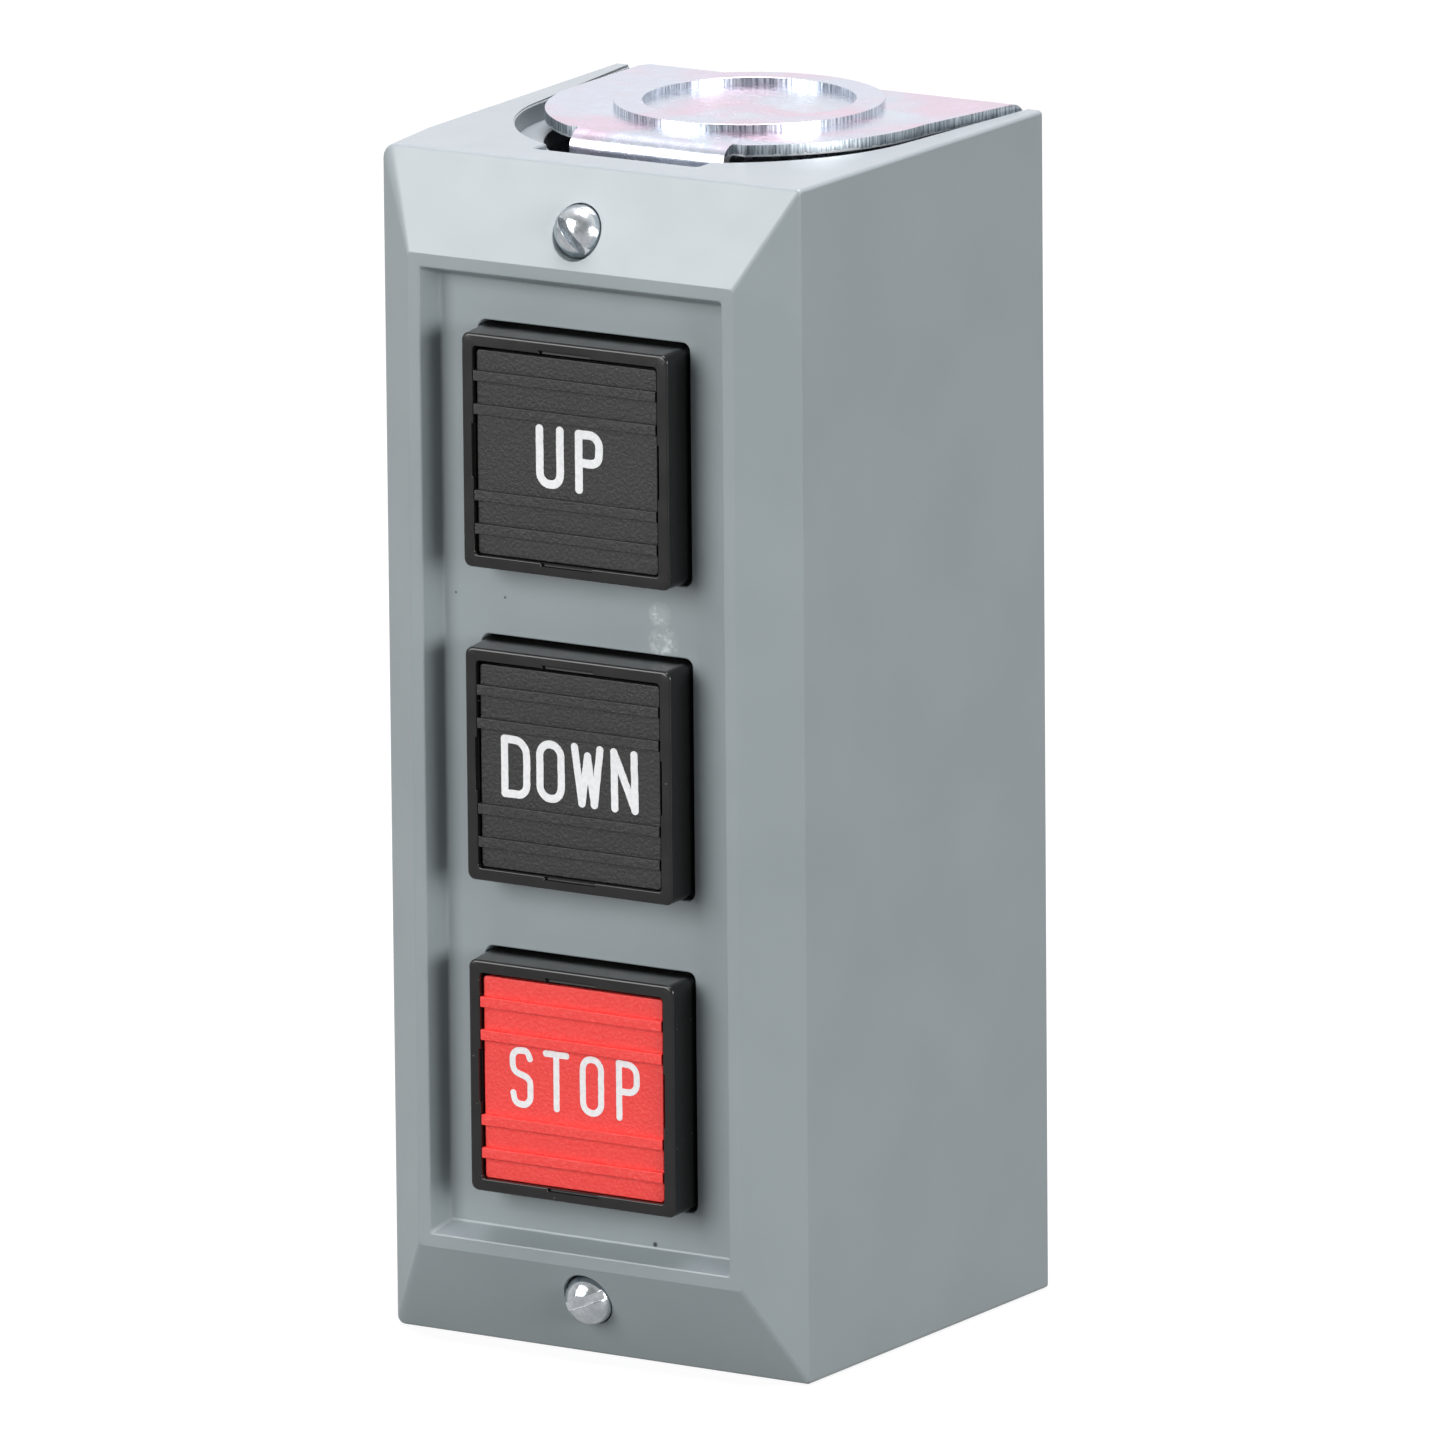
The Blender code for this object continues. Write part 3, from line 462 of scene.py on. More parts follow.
# %% [markdown]
# ## Cover
#
# The outside is one stack of loops: rear rim, straight wall, sloping border, raised frame, recess
# wall, panel. The mould's draft makes it a little wider at the rear than at the front. The border
# is wider at the ends than at the sides, so each loop's top and bottom may lie at their own
# depth. Openings, pockets and bosses are then carved with tools whose mouths flare out, which
# leaves each hole a rounded lip.

# %% Cover shell
CASE = (25.25, HALF_HEIGHT)      # half width and half height at the front edge
REAR_HALF = 26.13                # half width at the rear rim, for the mould's draft
TOP_RISE = 0.25                  # how far the top rises to the rear
SIDE_D, FRAME_D, PANEL_D = 46.45, 50.8, 48.1
FRAME_OUT, FRAME_IN, PANEL = (19.7, 52.7), (18.25, 51.25), (17.3, 50.3)
RIM_R, BORDER_R, FRAME_R, INNER_R, FOOT_R = 0.1, 0.45, 0.3, 0.25, 0.4
CORNERS = (0.45, 1.8, 0.9, 0.45)  # top right, top left, bottom left, bottom right
ROUND_D, REAR_CORNER = 38.0, 0.45  # behind this depth all four corners are this small
FRAME_CORNER, RECESS_CORNER = 0.5, 0.35


def cover_loops():
    loops = []
    sections = []
    for axis, rear in ((0, REAR_HALF), (1, HALF_HEIGHT + TOP_RISE / 2)):
        drafted = rear + (CASE[axis] - rear) * ROUND_D / SIDE_D
        points = [(rear - RIM_R, 0), (rear, RIM_R), (drafted, ROUND_D), (CASE[axis], SIDE_D),
                  (FRAME_OUT[axis], FRAME_D), (FRAME_IN[axis], FRAME_D),
                  (PANEL[axis], PANEL_D), (PANEL[axis] - 2, PANEL_D)]
        sections.append(rounded_path(points, [0, 0, BORDER_R, FRAME_R, INNER_R, FOOT_R]))
    for (half_x, depth_x), (half_z, depth_z) in zip(*sections):
        share = min(max((depth_x - SIDE_D + 1) / (FRAME_D - SIDE_D), 0), 1)
        inner = half_x < (FRAME_OUT[0] + FRAME_IN[0]) / 2
        outer = CORNERS if depth_x > ROUND_D else (REAR_CORNER,) * 4
        radii = [RECESS_CORNER if inner else corner + (FRAME_CORNER - corner) * share
                 for corner in outer]
        lift = TOP_RISE / 2 * max(1 - depth_z / SIDE_D, 0)
        loops.append(rectangle_loop(half_x, half_z, depth_x, radii, (0, lift), depth_z))
    return loops


shell_mesh = loft(cover_loops())
print("cover shell, open edges:", open_edges(shell_mesh))

# %% [markdown]
# ## Carving tools for the cover
#
# A tool for a hole is a loft too: straight through the wall, then flaring out like a trumpet over
# the last tenth or two of a millimetre. Subtracting it rounds the lip of the hole.

# %% Flared tools
def grown(outline, amount):
    """A closed outline of (x, depth) points moved outwards by an amount."""
    area = sum(a[0] * b[1] - b[0] * a[1] for a, b in zip(outline, outline[1:] + outline[:1]))
    side = 1 if area > 0 else -1
    result = []
    for before, here, after in zip(outline[-1:] + outline[:-1], outline,
                                   outline[1:] + outline[:1]):
        a = (Vector(here) - Vector(before)).normalized()
        b = (Vector(after) - Vector(here)).normalized()
        normal = (Vector((a.y, -a.x)) + Vector((b.y, -b.x))) * side
        reach = amount / max(0.5, normal.length / 2)
        result.append(tuple(Vector(here) + normal.normalized() * reach))
    return result


def flare(radius, steps=4):
    """(distance below the face, growth) pairs that round a hole's lip, from below upwards."""
    pairs = []
    for i in range(steps + 1):
        angle = math.pi / 2 * i / steps
        pairs.append((radius * (1 - math.sin(angle)), radius * (1 - math.cos(angle))))
    return pairs + [(-1.0, radius + 0.02)]


def hole_tool(loop_at, low, face, lip):
    """loop_at(growth, level) gives a loop.  The tool runs from low to beyond face."""
    loops = [loop_at(0, low)]
    direction = 1 if face > low else -1
    loops += [loop_at(growth, face - direction * below) for below, growth in flare(lip)]
    return loft(loops)


def arc(centre, radius, start, end, steps):
    angles = [math.radians(start + (end - start) * i / steps) for i in range(steps + 1)]
    return [(centre[0] + radius * math.cos(a), centre[1] + radius * math.sin(a)) for a in angles]


def mirrored(half):
    """A closed outline from its right half, whose points run from the rear to the front."""
    return half + [(-x, y) for x, y in reversed(half)]


KNOCKOUT_D = 15.45
POCKET_FLOOR = CASE[1] - 2.0
POCKET_MIDDLE, POCKET_R, POCKET_REAR_X, POCKET_SIDE_TURN = 19.2, 22.3, 24.4, 4
OPENING_R, OPENING_D, THROAT_X = 19.3, 38.55, 12.5
TAB_SLOT = (9.9, 41.75)          # half width and front end
SHEET = 1.2
SCREW_Z = 56.4
INSIDE = (23.65, 59.25, 45.6)    # half width, half height, front wall of the hollow
INSIDE_REAR = 24.55              # its half width at the rear rim
BOSS_R, BOSS_D = 4.0, (36.15, 46.55)
HEAD_SEAT, HEAD_HOLE_R, SHANK_HOLE_R = 47.75, 2.85, 1.75
CAP_OPENING, CAP_OPENING_R = 12.75, 0.85
RIB_Z, RIB_HALF, RIB_D = 16.55, 0.8, 2.6


def pocket_outline():
    """Plan of the pocket that clears the flange, with the screw tab's slot in front."""
    front = math.degrees(math.acos(TAB_SLOT[0] / POCKET_R))
    bend = arc((0, POCKET_MIDDLE), POCKET_R, POCKET_SIDE_TURN, front, 36)
    tip = rounded_path([(TAB_SLOT[0], TAB_SLOT[1] - 1), TAB_SLOT, (TAB_SLOT[0] - 1, TAB_SLOT[1])],
                       [0.5], 3)[1:-1]
    return mirrored([(POCKET_REAR_X, -1), *bend, *[tuple(point) for point in tip]])


def opening_outline():
    """Plan of the opening in the pocket's floor."""
    front = math.degrees(math.acos(THROAT_X / OPENING_R))
    bend = arc((0, POCKET_MIDDLE), OPENING_R, 0, front, 20)
    slot_x = TAB_SLOT[0] - 0.2
    return mirrored([(OPENING_R, -1), *bend, (THROAT_X, OPENING_D), (slot_x, OPENING_D),
                     (slot_x, TAB_SLOT[1] - 0.2)])


def flat_loop(outline, z):
    return [place(x, depth, z) for x, depth in outline]


def hollow_tool():
    """The hollow of the cover, as a lean-sided box with softened front edges."""
    half_x, half_z, front = INSIDE
    return loft([rectangle_loop(INSIDE_REAR, half_z, -1, 0.8),
                 rectangle_loop(half_x, half_z, front - 0.6, 0.8),
                 rectangle_loop(half_x - 0.18, half_z - 0.18, front - 0.18, 0.7),
                 rectangle_loop(half_x - 0.6, half_z - 0.6, front, 0.5)])


def end_tools(end):
    """What is carved at the top end (1) or the bottom end (-1): pocket, screw hole, boss."""
    screw = (0, end * SCREW_Z)
    boss = loft([round_loop(BOSS_R - 0.25, BOSS_D[0], screw, 32),
                 round_loop(BOSS_R, BOSS_D[0] + 0.25, screw, 32),
                 round_loop(BOSS_R, BOSS_D[1], screw, 32)])
    pocket = hole_tool(lambda grow, z: flat_loop(grown(pocket_outline(), grow), z),
                       end * POCKET_FLOOR, end * CASE[1], 0.16)
    opening = hole_tool(lambda grow, z: flat_loop(grown(opening_outline(), grow), z),
                        end * (INSIDE[1] - 0.5), end * POCKET_FLOOR, 0.12)
    notch_x, notch_d = INSIDE_REAR + 0.1, SHEET + 0.4
    notch = loft([flat_loop([(notch_x, -1), (notch_x, notch_d), (-notch_x, notch_d),
                             (-notch_x, -1)], z * end)
                  for z in (INSIDE[1] - 0.5, POCKET_FLOOR + 0.3)])
    tilt = (FRAME_D - SIDE_D) / (CASE[1] - FRAME_OUT[1])
    bevel_d = SIDE_D + (CASE[1] - SCREW_Z) * tilt
    head = [round_loop(HEAD_HOLE_R, HEAD_SEAT - 0.3, screw),
            round_loop(HEAD_HOLE_R, bevel_d - 1.6, screw)]
    for below, growth in flare(0.05):
        head.append([p + Vector((0, (p.z - MID_Z - screw[1] * MM) * tilt * end, 0)) for p in
                     round_loop(HEAD_HOLE_R + growth, bevel_d - below, screw)])
    shank = loft([round_loop(SHANK_HOLE_R, depth, screw, 24)
                  for depth in (BOSS_D[0] - 1, HEAD_SEAT)])
    return [("UNION", boss), ("DIFFERENCE", pocket), ("DIFFERENCE", opening),
            ("DIFFERENCE", notch), ("DIFFERENCE", loft(head)), ("DIFFERENCE", shank)]


def cover_tools():
    steps = [("DIFFERENCE", hollow_tool()), *end_tools(1), *end_tools(-1)]
    for rib_z in (RIB_Z, -RIB_Z):
        rib = loft([rectangle_loop(INSIDE[0] + 0.5, RIB_HALF - 0.1, INSIDE[2] - RIB_D, 0.05,
                                   (0, rib_z)),
                    rectangle_loop(INSIDE[0] + 0.5, RIB_HALF, INSIDE[2] - RIB_D + 0.1, 0.05,
                                   (0, rib_z)),
                    rectangle_loop(INSIDE[0] + 0.5, RIB_HALF, INSIDE[2] + 0.5, 0.05, (0, rib_z))])
        steps.append(("UNION", rib))
    for unit in UNITS:
        def cap_hole(grow, depth, middle=UNIT_Z[unit]):
            half = CAP_OPENING + grow
            return rectangle_loop(half, half, depth, CAP_OPENING_R + grow, (0, middle))
        steps.append(("DIFFERENCE", hole_tool(cap_hole, OPENING_D, PANEL_D, 0.18)))
    return steps


piece("cover_moulding", carve(shell_mesh, cover_tools()), [GREY_ABS], "root",
      ["cover"])

# %% [markdown]
# ## Geometry Nodes
#
# What repeats, or follows a path, is grown by Geometry Nodes: springs, ribs, rows of screws and
# the strokes of the letters. One helper makes a tree with named inputs, and another runs it on a
# mesh. It sets each input by its socket's identifier, takes the result as a plain mesh, and so
# leaves no live modifier behind.

# %% Geometry Nodes helpers
SOCKETS = {float: "NodeSocketFloat", int: "NodeSocketInt", Vector: "NodeSocketVector"}


def geometry_tree(name, inputs):
    """A new tree with named inputs, given as (name, default).  Returns it and its input node."""
    tree = bpy.data.node_groups.new(name, "GeometryNodeTree")
    tree.interface.new_socket("Geometry", in_out="INPUT", socket_type="NodeSocketGeometry")
    tree.interface.new_socket("Finish", in_out="INPUT", socket_type="NodeSocketMaterial")
    for label, default in inputs:
        socket = tree.interface.new_socket(label, in_out="INPUT",
                                           socket_type=SOCKETS[type(default)])
        socket.default_value = default
    tree.interface.new_socket("Geometry", in_out="OUTPUT", socket_type="NodeSocketGeometry")
    return tree, tree.nodes.new("NodeGroupInput")


def close_tree(tree, given, geometry):
    """End a tree in real geometry with its finish, as the export needs."""
    real = add(tree, "GeometryNodeRealizeInstances", {0: geometry})
    finished = add(tree, "GeometryNodeSetMaterial", {0: real, "Material": given.outputs["Finish"]})
    add(tree, "NodeGroupOutput", {0: finished})
    print(f"tree {tree.name}: {len(tree.nodes)} nodes")
    return tree


def grow(tree, finish, mesh=None, weld=2e-6, **values):
    """Run a tree on a mesh and return what it makes as a plain mesh."""
    obj = temporary(mesh or bpy.data.meshes.new("seed"))
    modifier = obj.modifiers.new("grow", "NODES")
    modifier.node_group = tree
    values = {key.replace("_", " "): value for key, value in values.items()}
    values["finish"] = finish
    for item in tree.interface.items_tree:
        if item.in_out == "INPUT" and item.name.lower() in values:
            modifier[item.identifier] = values[item.name.lower()]
    return plain_mesh(obj, weld)


# %% [markdown]
# ## Zinc plated steel
#
# The back plate is cold rolled sheet, stamped and bent, then zinc plated and blue passivated. The
# eye sees a bright bluish metal with soft clouds of pink and pale blue where the passivation is
# thicker, a fine rolled grain, and a few handling marks. The sheared edges are rougher: they carry
# the streaks of the punch, and end in a thin burr. The burr's glint is a painted highlight: below a
# ragged line just above the top flange's underside, the sheared faces are painted near white. A
# metal keeps the default IOR.

# %% Zinc finishes
ZINC, tree, shader, where = new_material("blue_passivated_zinc", "#D6E1EE", 0.26, metallic=1.0)
film = add(tree, "ShaderNodeTexNoise", {"Vector": where, "Scale": millimetres(16), "Detail": 2,
                                        "Distortion": 0.8})
share = add(tree, "ShaderNodeMapRange", {0: film, 1: 0.42, 2: 0.58})
pink = add(tree, "ShaderNodeMix", {0: share, 6: linear("#DEE3F2"), 7: linear("#ECD5E8")},
           data_type="RGBA")
film = add(tree, "ShaderNodeTexNoise", {"Vector": where, "Scale": millimetres(9), "Detail": 2})
share = add(tree, "ShaderNodeMapRange", {0: film, 1: 0.60, 2: 0.72})
white = add(tree, "ShaderNodeMix", {0: share, 6: pink, 7: linear("#E2EBF7")}, data_type="RGBA")
marks = add(tree, "ShaderNodeTexNoise", {"Vector": where, "Scale": millimetres(2.2), "Detail": 6,
                                         "Roughness": 0.7})
gloss = add(tree, "ShaderNodeMapRange", {0: marks, 1: 0.3, 2: 0.7, 3: 0.20, 4: 0.32})
grain = add(tree, "ShaderNodeTexNoise", {"Vector": where, "Scale": millimetres(0.9), "Detail": 4})
relief = add(tree, "ShaderNodeBump", {"Height": grain, "Distance": 0.001 * MM})
feed(shader, {"Base Color": white, "Roughness": gloss, "Normal": relief})

RING_STEP = 0.77
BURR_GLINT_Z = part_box("back_plate")[1].z - (RING_STEP + SHEET) * MM   # underside of the top flange
SHEARED_ZINC, tree, shader, where = new_material("sheared_zinc_edge", "#C9CFD6", 0.3,
                                                 metallic=1.0)
along = add(tree, "ShaderNodeMapping", {0: where, 3: (1, 1, 0.08)})
streaks = add(tree, "ShaderNodeTexNoise", {"Vector": along, "Detail": 2,
                                           "Scale": millimetres(0.22)})
share = add(tree, "ShaderNodeMapRange", {0: streaks, 1: 0.32, 2: 0.68})
tint = add(tree, "ShaderNodeMix", {0: share, 6: linear("#77828B"), 7: linear("#E6EDF3")},
           data_type="RGBA")
# Painted highlight: every sheared face below a ragged line just above the top flange's underside is near
# white, standing in for the glint of the burr.
height = add(tree, "ShaderNodeSeparateXYZ", {0: where}).outputs["Z"]
ragged = add(tree, "ShaderNodeTexNoise", {"Vector": where, "Scale": millimetres(0.7), "Detail": 3})
wander = add(tree, "ShaderNodeMapRange", {0: ragged, 1: 0.3, 2: 0.7, 3: 0.05 * MM, 4: 0.3 * MM})
line = add(tree, "ShaderNodeMath", {0: wander, 1: BURR_GLINT_Z}, operation="ADD")
below = add(tree, "ShaderNodeMath", {0: height, 1: line}, operation="LESS_THAN")
burr_glint = add(tree, "ShaderNodeMix", {0: below, 6: tint, 7: linear("#FAFBFC")}, data_type="RGBA")
relief = add(tree, "ShaderNodeBump", {"Height": streaks, "Distance": 0.008 * MM})
feed(shader, {"Base Color": burr_glint, "Normal": relief})

# %% [markdown]
# ## Back plate
#
# One strip of 1.2 mm steel is bent into a C: the back, two flanges, and a tab at the end of each
# for a cover screw. It is modelled the same way: a C-shaped section swept across, trimmed to its
# plan, then a small bevel on the sheared edges. The knockout is a ring pressed out of the flange,
# with its own groove below.

# %% Bent sheet
PLATE_LOW, PLATE_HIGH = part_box("back_plate")
PLATE_X = 24.2
FLANGE_TOP = (PLATE_HIGH.z - MID_Z) / MM - RING_STEP
FLANGE_BOTTOM = (MID_Z - PLATE_LOW.z) / MM
TAB_FRONT, TAB_HALF, TAB_LOW, BEND_R = 35.75, 9.3, 50.6, 2.0
FLANGE_R = 21.2
RING_OUTER, RING_INNER = 14.1, 11.1
LEFT_TRIM = [(-26, -1), (-19.6, -1), (-20.4, 1.2), (-21.3, 2.9), (-FLANGE_R, KNOCKOUT_D),
             (-26, KNOCKOUT_D)]  # plan of what leaves a flange's left side straight
TRIM_HEIGHT = 1.6                # how far it reaches below the case's end
print("flange faces:", round(FLANGE_TOP, 2), round(-FLANGE_BOTTOM, 2), "half width", PLATE_X)


def sheet_section(inset):
    """Side view of the C as (depth, z), moved inwards by inset."""
    radius = BEND_R - inset
    top, bottom = FLANGE_TOP - inset, -FLANGE_BOTTOM + inset
    front, rear = TAB_FRONT - inset, inset
    path = rounded_path([(front, TAB_LOW), (front, top), (rear, top), (rear, bottom),
                         (front, bottom), (front, -TAB_LOW)], [radius] * 4, 9)
    return [tuple(point) for point in path]


def flange_outline():
    """Plan of the plate: full width behind, round about the knockout, then the tab."""
    bend_line = TAB_FRONT - BEND_R
    reach = math.degrees(math.asin((bend_line - KNOCKOUT_D) / FLANGE_R))
    bend = arc((0, KNOCKOUT_D), FLANGE_R, 0, reach, 30)
    return mirrored([(PLATE_X, -1), *bend, (TAB_HALF, bend_line), (TAB_HALF, TAB_FRONT + 1)])


def level_loop(radius, z, sides=96):
    """A circle about the knockout's axis at a height above the middle."""
    return [place(radius * math.cos(math.tau * i / sides),
                  KNOCKOUT_D + radius * math.sin(math.tau * i / sides), z) for i in range(sides)]


def hoop(loops):
    """Loops joined into a closed ring, the last one back to the first."""
    bm = bmesh.new()
    rings = [[bm.verts.new(point) for point in loop] for loop in loops]
    for near, far in zip(rings, rings[1:] + rings[:1]):
        for i in range(len(near)):
            j = (i + 1) % len(near)
            bm.faces.new((near[i], near[j], far[j], far[i]))
    bmesh.ops.recalc_face_normals(bm, faces=bm.faces)
    mesh = bpy.data.meshes.new("hoop")
    bm.to_mesh(mesh)
    bm.free()
    return mesh


def two_finishes(mesh, sheared):
    """Plain zinc, and the sheared finish on the polygons that a test picks."""
    for material in (ZINC, SHEARED_ZINC):
        mesh.materials.append(material)
    for polygon in mesh.polygons:
        polygon.material_index = int(sheared(polygon))


def knockout_ring(base):
    """Raised ring with rounded shoulders, and the groove that it leaves below."""
    root, top = base + SHEET - 0.3, base + SHEET + RING_STEP
    section = rounded_path([(RING_OUTER, root), (RING_OUTER, top), (RING_INNER, top),
                            (RING_INNER, root)], [0.1, 0.12], 3)
    ring = hoop([level_loop(radius, z) for radius, z in section])
    outer, inner, roof = RING_OUTER - 0.2, RING_INNER + 0.2, base + RING_STEP - 0.2
    groove = hoop([level_loop(radius, z) for radius, z in
                   ((outer, base - 0.2), (outer, roof), (inner, roof), (inner, base - 0.2))])
    for mesh in (ring, groove):
        two_finishes(mesh, lambda polygon: abs(polygon.normal.z) < 0.5)
    return ring, groove


def bevelled(mesh, width, angle, segments=2):
    obj = temporary(mesh)
    modifier = obj.modifiers.new("broken_edges", "BEVEL")
    modifier.width = width * MM
    modifier.segments = segments
    modifier.limit_method = "ANGLE"
    modifier.angle_limit = math.radians(angle)
    modifier.harden_normals = False
    return plain_mesh(obj, 1e-7)


section = sheet_section(0) + sheet_section(SHEET)[::-1]
sheet = loft([[place(x, depth, z) for depth, z in section] for x in (-PLATE_X, PLATE_X)])
trim = loft([flat_loop(flange_outline(), z) for z in (-70, 70)])
left_trims = [loft([flat_loop(LEFT_TRIM, end * z) for z in (CASE[1] - TRIM_HEIGHT, 70)])
              for end in (1, -1)]
two_finishes(sheet, lambda polygon: False)
for mesh in (trim, *left_trims):
    two_finishes(mesh, lambda polygon: True)
FIXING_R, FIXING_Z, GROUND_R, GROUND_AT = 2.6, 51.5, 2.0, (14.0, -53.5)
BLOCK_HOLE_R, BLOCK_SCREW_X, BLOCK_SCREW_Z = 1.85, 16.0, 9.4
tab_ends, back_ends = (TAB_FRONT - SHEET - 1, TAB_FRONT + 1), (-1, SHEET + 1)
holes = [loft([round_loop(GROUND_R, depth, GROUND_AT, 24) for depth in back_ends])]
for end in (1, -1):
    holes.append(loft([round_loop(SHANK_HOLE_R, depth, (0, end * SCREW_Z), 24)
                       for depth in tab_ends]))
    holes.append(loft([round_loop(FIXING_R, depth, (0, end * FIXING_Z), 32)
                       for depth in back_ends]))
for unit in UNITS:
    for side in (-1, 1):
        at = (side * BLOCK_SCREW_X, UNIT_Z[unit] - side * BLOCK_SCREW_Z)
        holes.append(loft([round_loop(BLOCK_HOLE_R, depth, at, 20) for depth in back_ends]))
plate_mesh = carve(sheet, [("INTERSECT", trim)]
                   + [("DIFFERENCE", tool) for tool in (*left_trims, *holes)])
plate_mesh = bevelled(plate_mesh, 0.16, 50)
print("plate after its bevel, open edges:", open_edges(plate_mesh))
steps = []
for base in (FLANGE_TOP - SHEET, -FLANGE_BOTTOM):
    ring, groove = knockout_ring(base)
    steps += [("UNION", ring), ("DIFFERENCE", groove)]
piece("back_plate_sheet", carve(plate_mesh, steps), [ZINC, SHEARED_ZINC], "root",
      ["back_plate"], sharp=35)

# %% [markdown]
# ## Black button caps: moulded ABS
#
# The caps are glossy black ABS. Black plastic shows almost nothing but its reflections, so the
# rims and the rounded edges carry the shape, and a few bright dust specks sit on the sides.

# %% Black ABS
BLACK_ABS, tree, shader, where = new_material("moulded_black_abs", "#0E0E0D", 0.22, ABS_IOR)
dust = add(tree, "ShaderNodeTexVoronoi", {"Vector": where, "Scale": millimetres(1.1)})
lint = add(tree, "ShaderNodeMapRange", {0: dust, 1: 0.055, 2: 0.035})
lay = add(tree, "ShaderNodeTexNoise", {"Vector": where, "Scale": millimetres(4), "Detail": 2})
patch = add(tree, "ShaderNodeMapRange", {0: lay, 1: 0.52, 2: 0.6})
speck = add(tree, "ShaderNodeMath", {0: lint, 1: patch}, operation="MULTIPLY")
tint = add(tree, "ShaderNodeMix", {0: speck, 6: linear("#0E0E0D"), 7: linear("#8C8E8C")},
           data_type="RGBA")
wear = add(tree, "ShaderNodeTexNoise", {"Vector": where, "Scale": millimetres(3), "Detail": 3})
gloss = add(tree, "ShaderNodeMapRange", {0: wear, 1: 0.3, 2: 0.7, 3: 0.18, 4: 0.26})
peel = add(tree, "ShaderNodeTexNoise", {"Vector": where, "Scale": millimetres(0.8), "Detail": 2})
relief = add(tree, "ShaderNodeBump", {"Height": peel, "Distance": 0.002 * MM})
feed(shader, {"Base Color": tint, "Roughness": gloss, "Normal": relief})

# %% [markdown]
# ## Button caps
#
# A cap is square all the way through: rim, skirt, the lip that keeps it in the cover, the hollow
# behind and the socket on the plunger. So its whole section is one path, front pocket to rear
# socket, and the loft follows it. The four notches where the legend plate snaps in are carved.
# Each cap hangs by its own slack a little below the middle of its opening.

# %% Caps
CAP_FACE = (REAR_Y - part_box("up_cap")[0].y) / MM
CAP_DROP = 0.2                   # of the face; at the panel the cap is in the middle of its hole
CAP_SHORTER = 0.15               # a cap's half height is this much less than its half width
RIM_INSIDE, RIM_OUTSIDE = 11.15, 12.45   # half widths of the rim's two edges
NOTCH_HALF, NOTCH_MOUTH = 0.14, 0.26     # half height of a notch, inside and at its mouth
NOTCHES = ((0, 3.05), (90, 2.8), (180, 3.05), (270, 2.8))   # angle and half length of each
LIP_D = INSIDE[2] - 0.35
print("cap face, forward of the rear rim:", round(CAP_FACE, 2))


def hang(depth):
    """How far a point of a cap hangs below its middle."""
    return CAP_DROP * max((depth - PANEL_D) / (CAP_FACE - PANEL_D), 0)


def cap_mesh(middle):
    web = CAP_FACE - 2.0
    path = [(11.0, web), (RIM_INSIDE, CAP_FACE), (RIM_OUTSIDE, CAP_FACE), (12.55, PANEL_D),
            (12.55, LIP_D), (13.8, LIP_D), (13.8, LIP_D - 1.4), (10.9, LIP_D - 1.4),
            (10.9, web - 1.8), (7.5, web - 1.8), (7.5, web - 4.1), (6.3, web - 4.1),
            (6.3, web - 1.8), (5.5, web - 1.8)]
    radii = [0.1, 0.26, 0, 0.1, 0.15, 0.12, 0.12, 0.2, 0.3, 0.1, 0.1, 0.2]
    path = rounded_path(path, radii, 4)
    loops = [rectangle_loop(10.0, 10.0, web, 0.3, (0, middle - hang(web)))]
    for half, depth in path:
        corner = 0.8 if half > 12 else 0.45
        loops.append(rectangle_loop(half, half - CAP_SHORTER, depth, corner,
                                    (0, middle - hang(depth))))
    steps = []
    at_rim = (0, RIM_INSIDE)
    for angle, reach in NOTCHES:
        notch = loft([rectangle_loop(reach, NOTCH_HALF, CAP_FACE - 0.4, 0.05, at_rim),
                      rectangle_loop(reach, NOTCH_HALF, CAP_FACE - 0.12, 0.05, at_rim),
                      rectangle_loop(reach + 0.15, NOTCH_MOUTH, CAP_FACE + 0.1, 0.05, at_rim)])
        notch.transform(Matrix.Translation(place(0, 0, middle - CAP_DROP))
                        @ Matrix.Rotation(math.radians(angle), 4, "Y")
                        @ Matrix.Translation(-place(0, 0, 0)))
        steps.append(("DIFFERENCE", notch))
    return carve(loft(loops), steps)


for unit in UNITS:
    piece(f"{unit}_button_cap", cap_mesh(UNIT_Z[unit]), [BLACK_ABS],
          f"{unit}_button", [f"{unit}_cap"])

# %% [markdown]
# ## Legend plates: grained ABS
#
# The plates that carry the words are moulded in a finely grained tool, so they are matt, and
# their ribs come out smoother; here the ribs carry the same grain. The grain is a bump relief,
# under half a millimetre across. Black ones look charcoal beside the glossy rim; the red one is
# the stop button.

# %% Grained plastics
def grained(name, colour, lighter, crest, crest_share, roughness):
    """A grained plastic: its colour, a lighter patch, and the rubbed crests of its grain."""
    material, tree, shader, where = new_material(name, colour, roughness, ABS_IOR)
    mottle = add(tree, "ShaderNodeTexNoise", {"Vector": where, "Scale": millimetres(1.2),
                                              "Detail": 4})
    share = add(tree, "ShaderNodeMapRange", {0: mottle, 1: 0.3, 2: 0.7})
    tint = add(tree, "ShaderNodeMix", {0: share, 6: linear(colour), 7: linear(lighter)},
               data_type="RGBA")
    grain = add(tree, "ShaderNodeTexNoise", {"Vector": where, "Scale": millimetres(0.38),
                                             "Detail": 3, "Roughness": 0.6})
    crests = add(tree, "ShaderNodeMapRange", {0: grain, 1: 0.48, 2: 0.66, 3: 0.0, 4: crest_share})
    worn = add(tree, "ShaderNodeMix", {0: crests, 6: tint, 7: linear(crest)}, data_type="RGBA")
    relief = add(tree, "ShaderNodeBump", {"Height": grain, "Distance": 0.08 * MM})
    feed(shader, {"Base Color": worn, "Normal": relief})
    return material


BLACK_GRAIN = grained("grained_black_abs", "#0A0A0A", "#100F0F", "#323332", 0.55, 0.5)
RED_GRAIN = grained("grained_red_abs", "#F23A35", "#F6403A", "#FB5650", 0.6, 0.48)

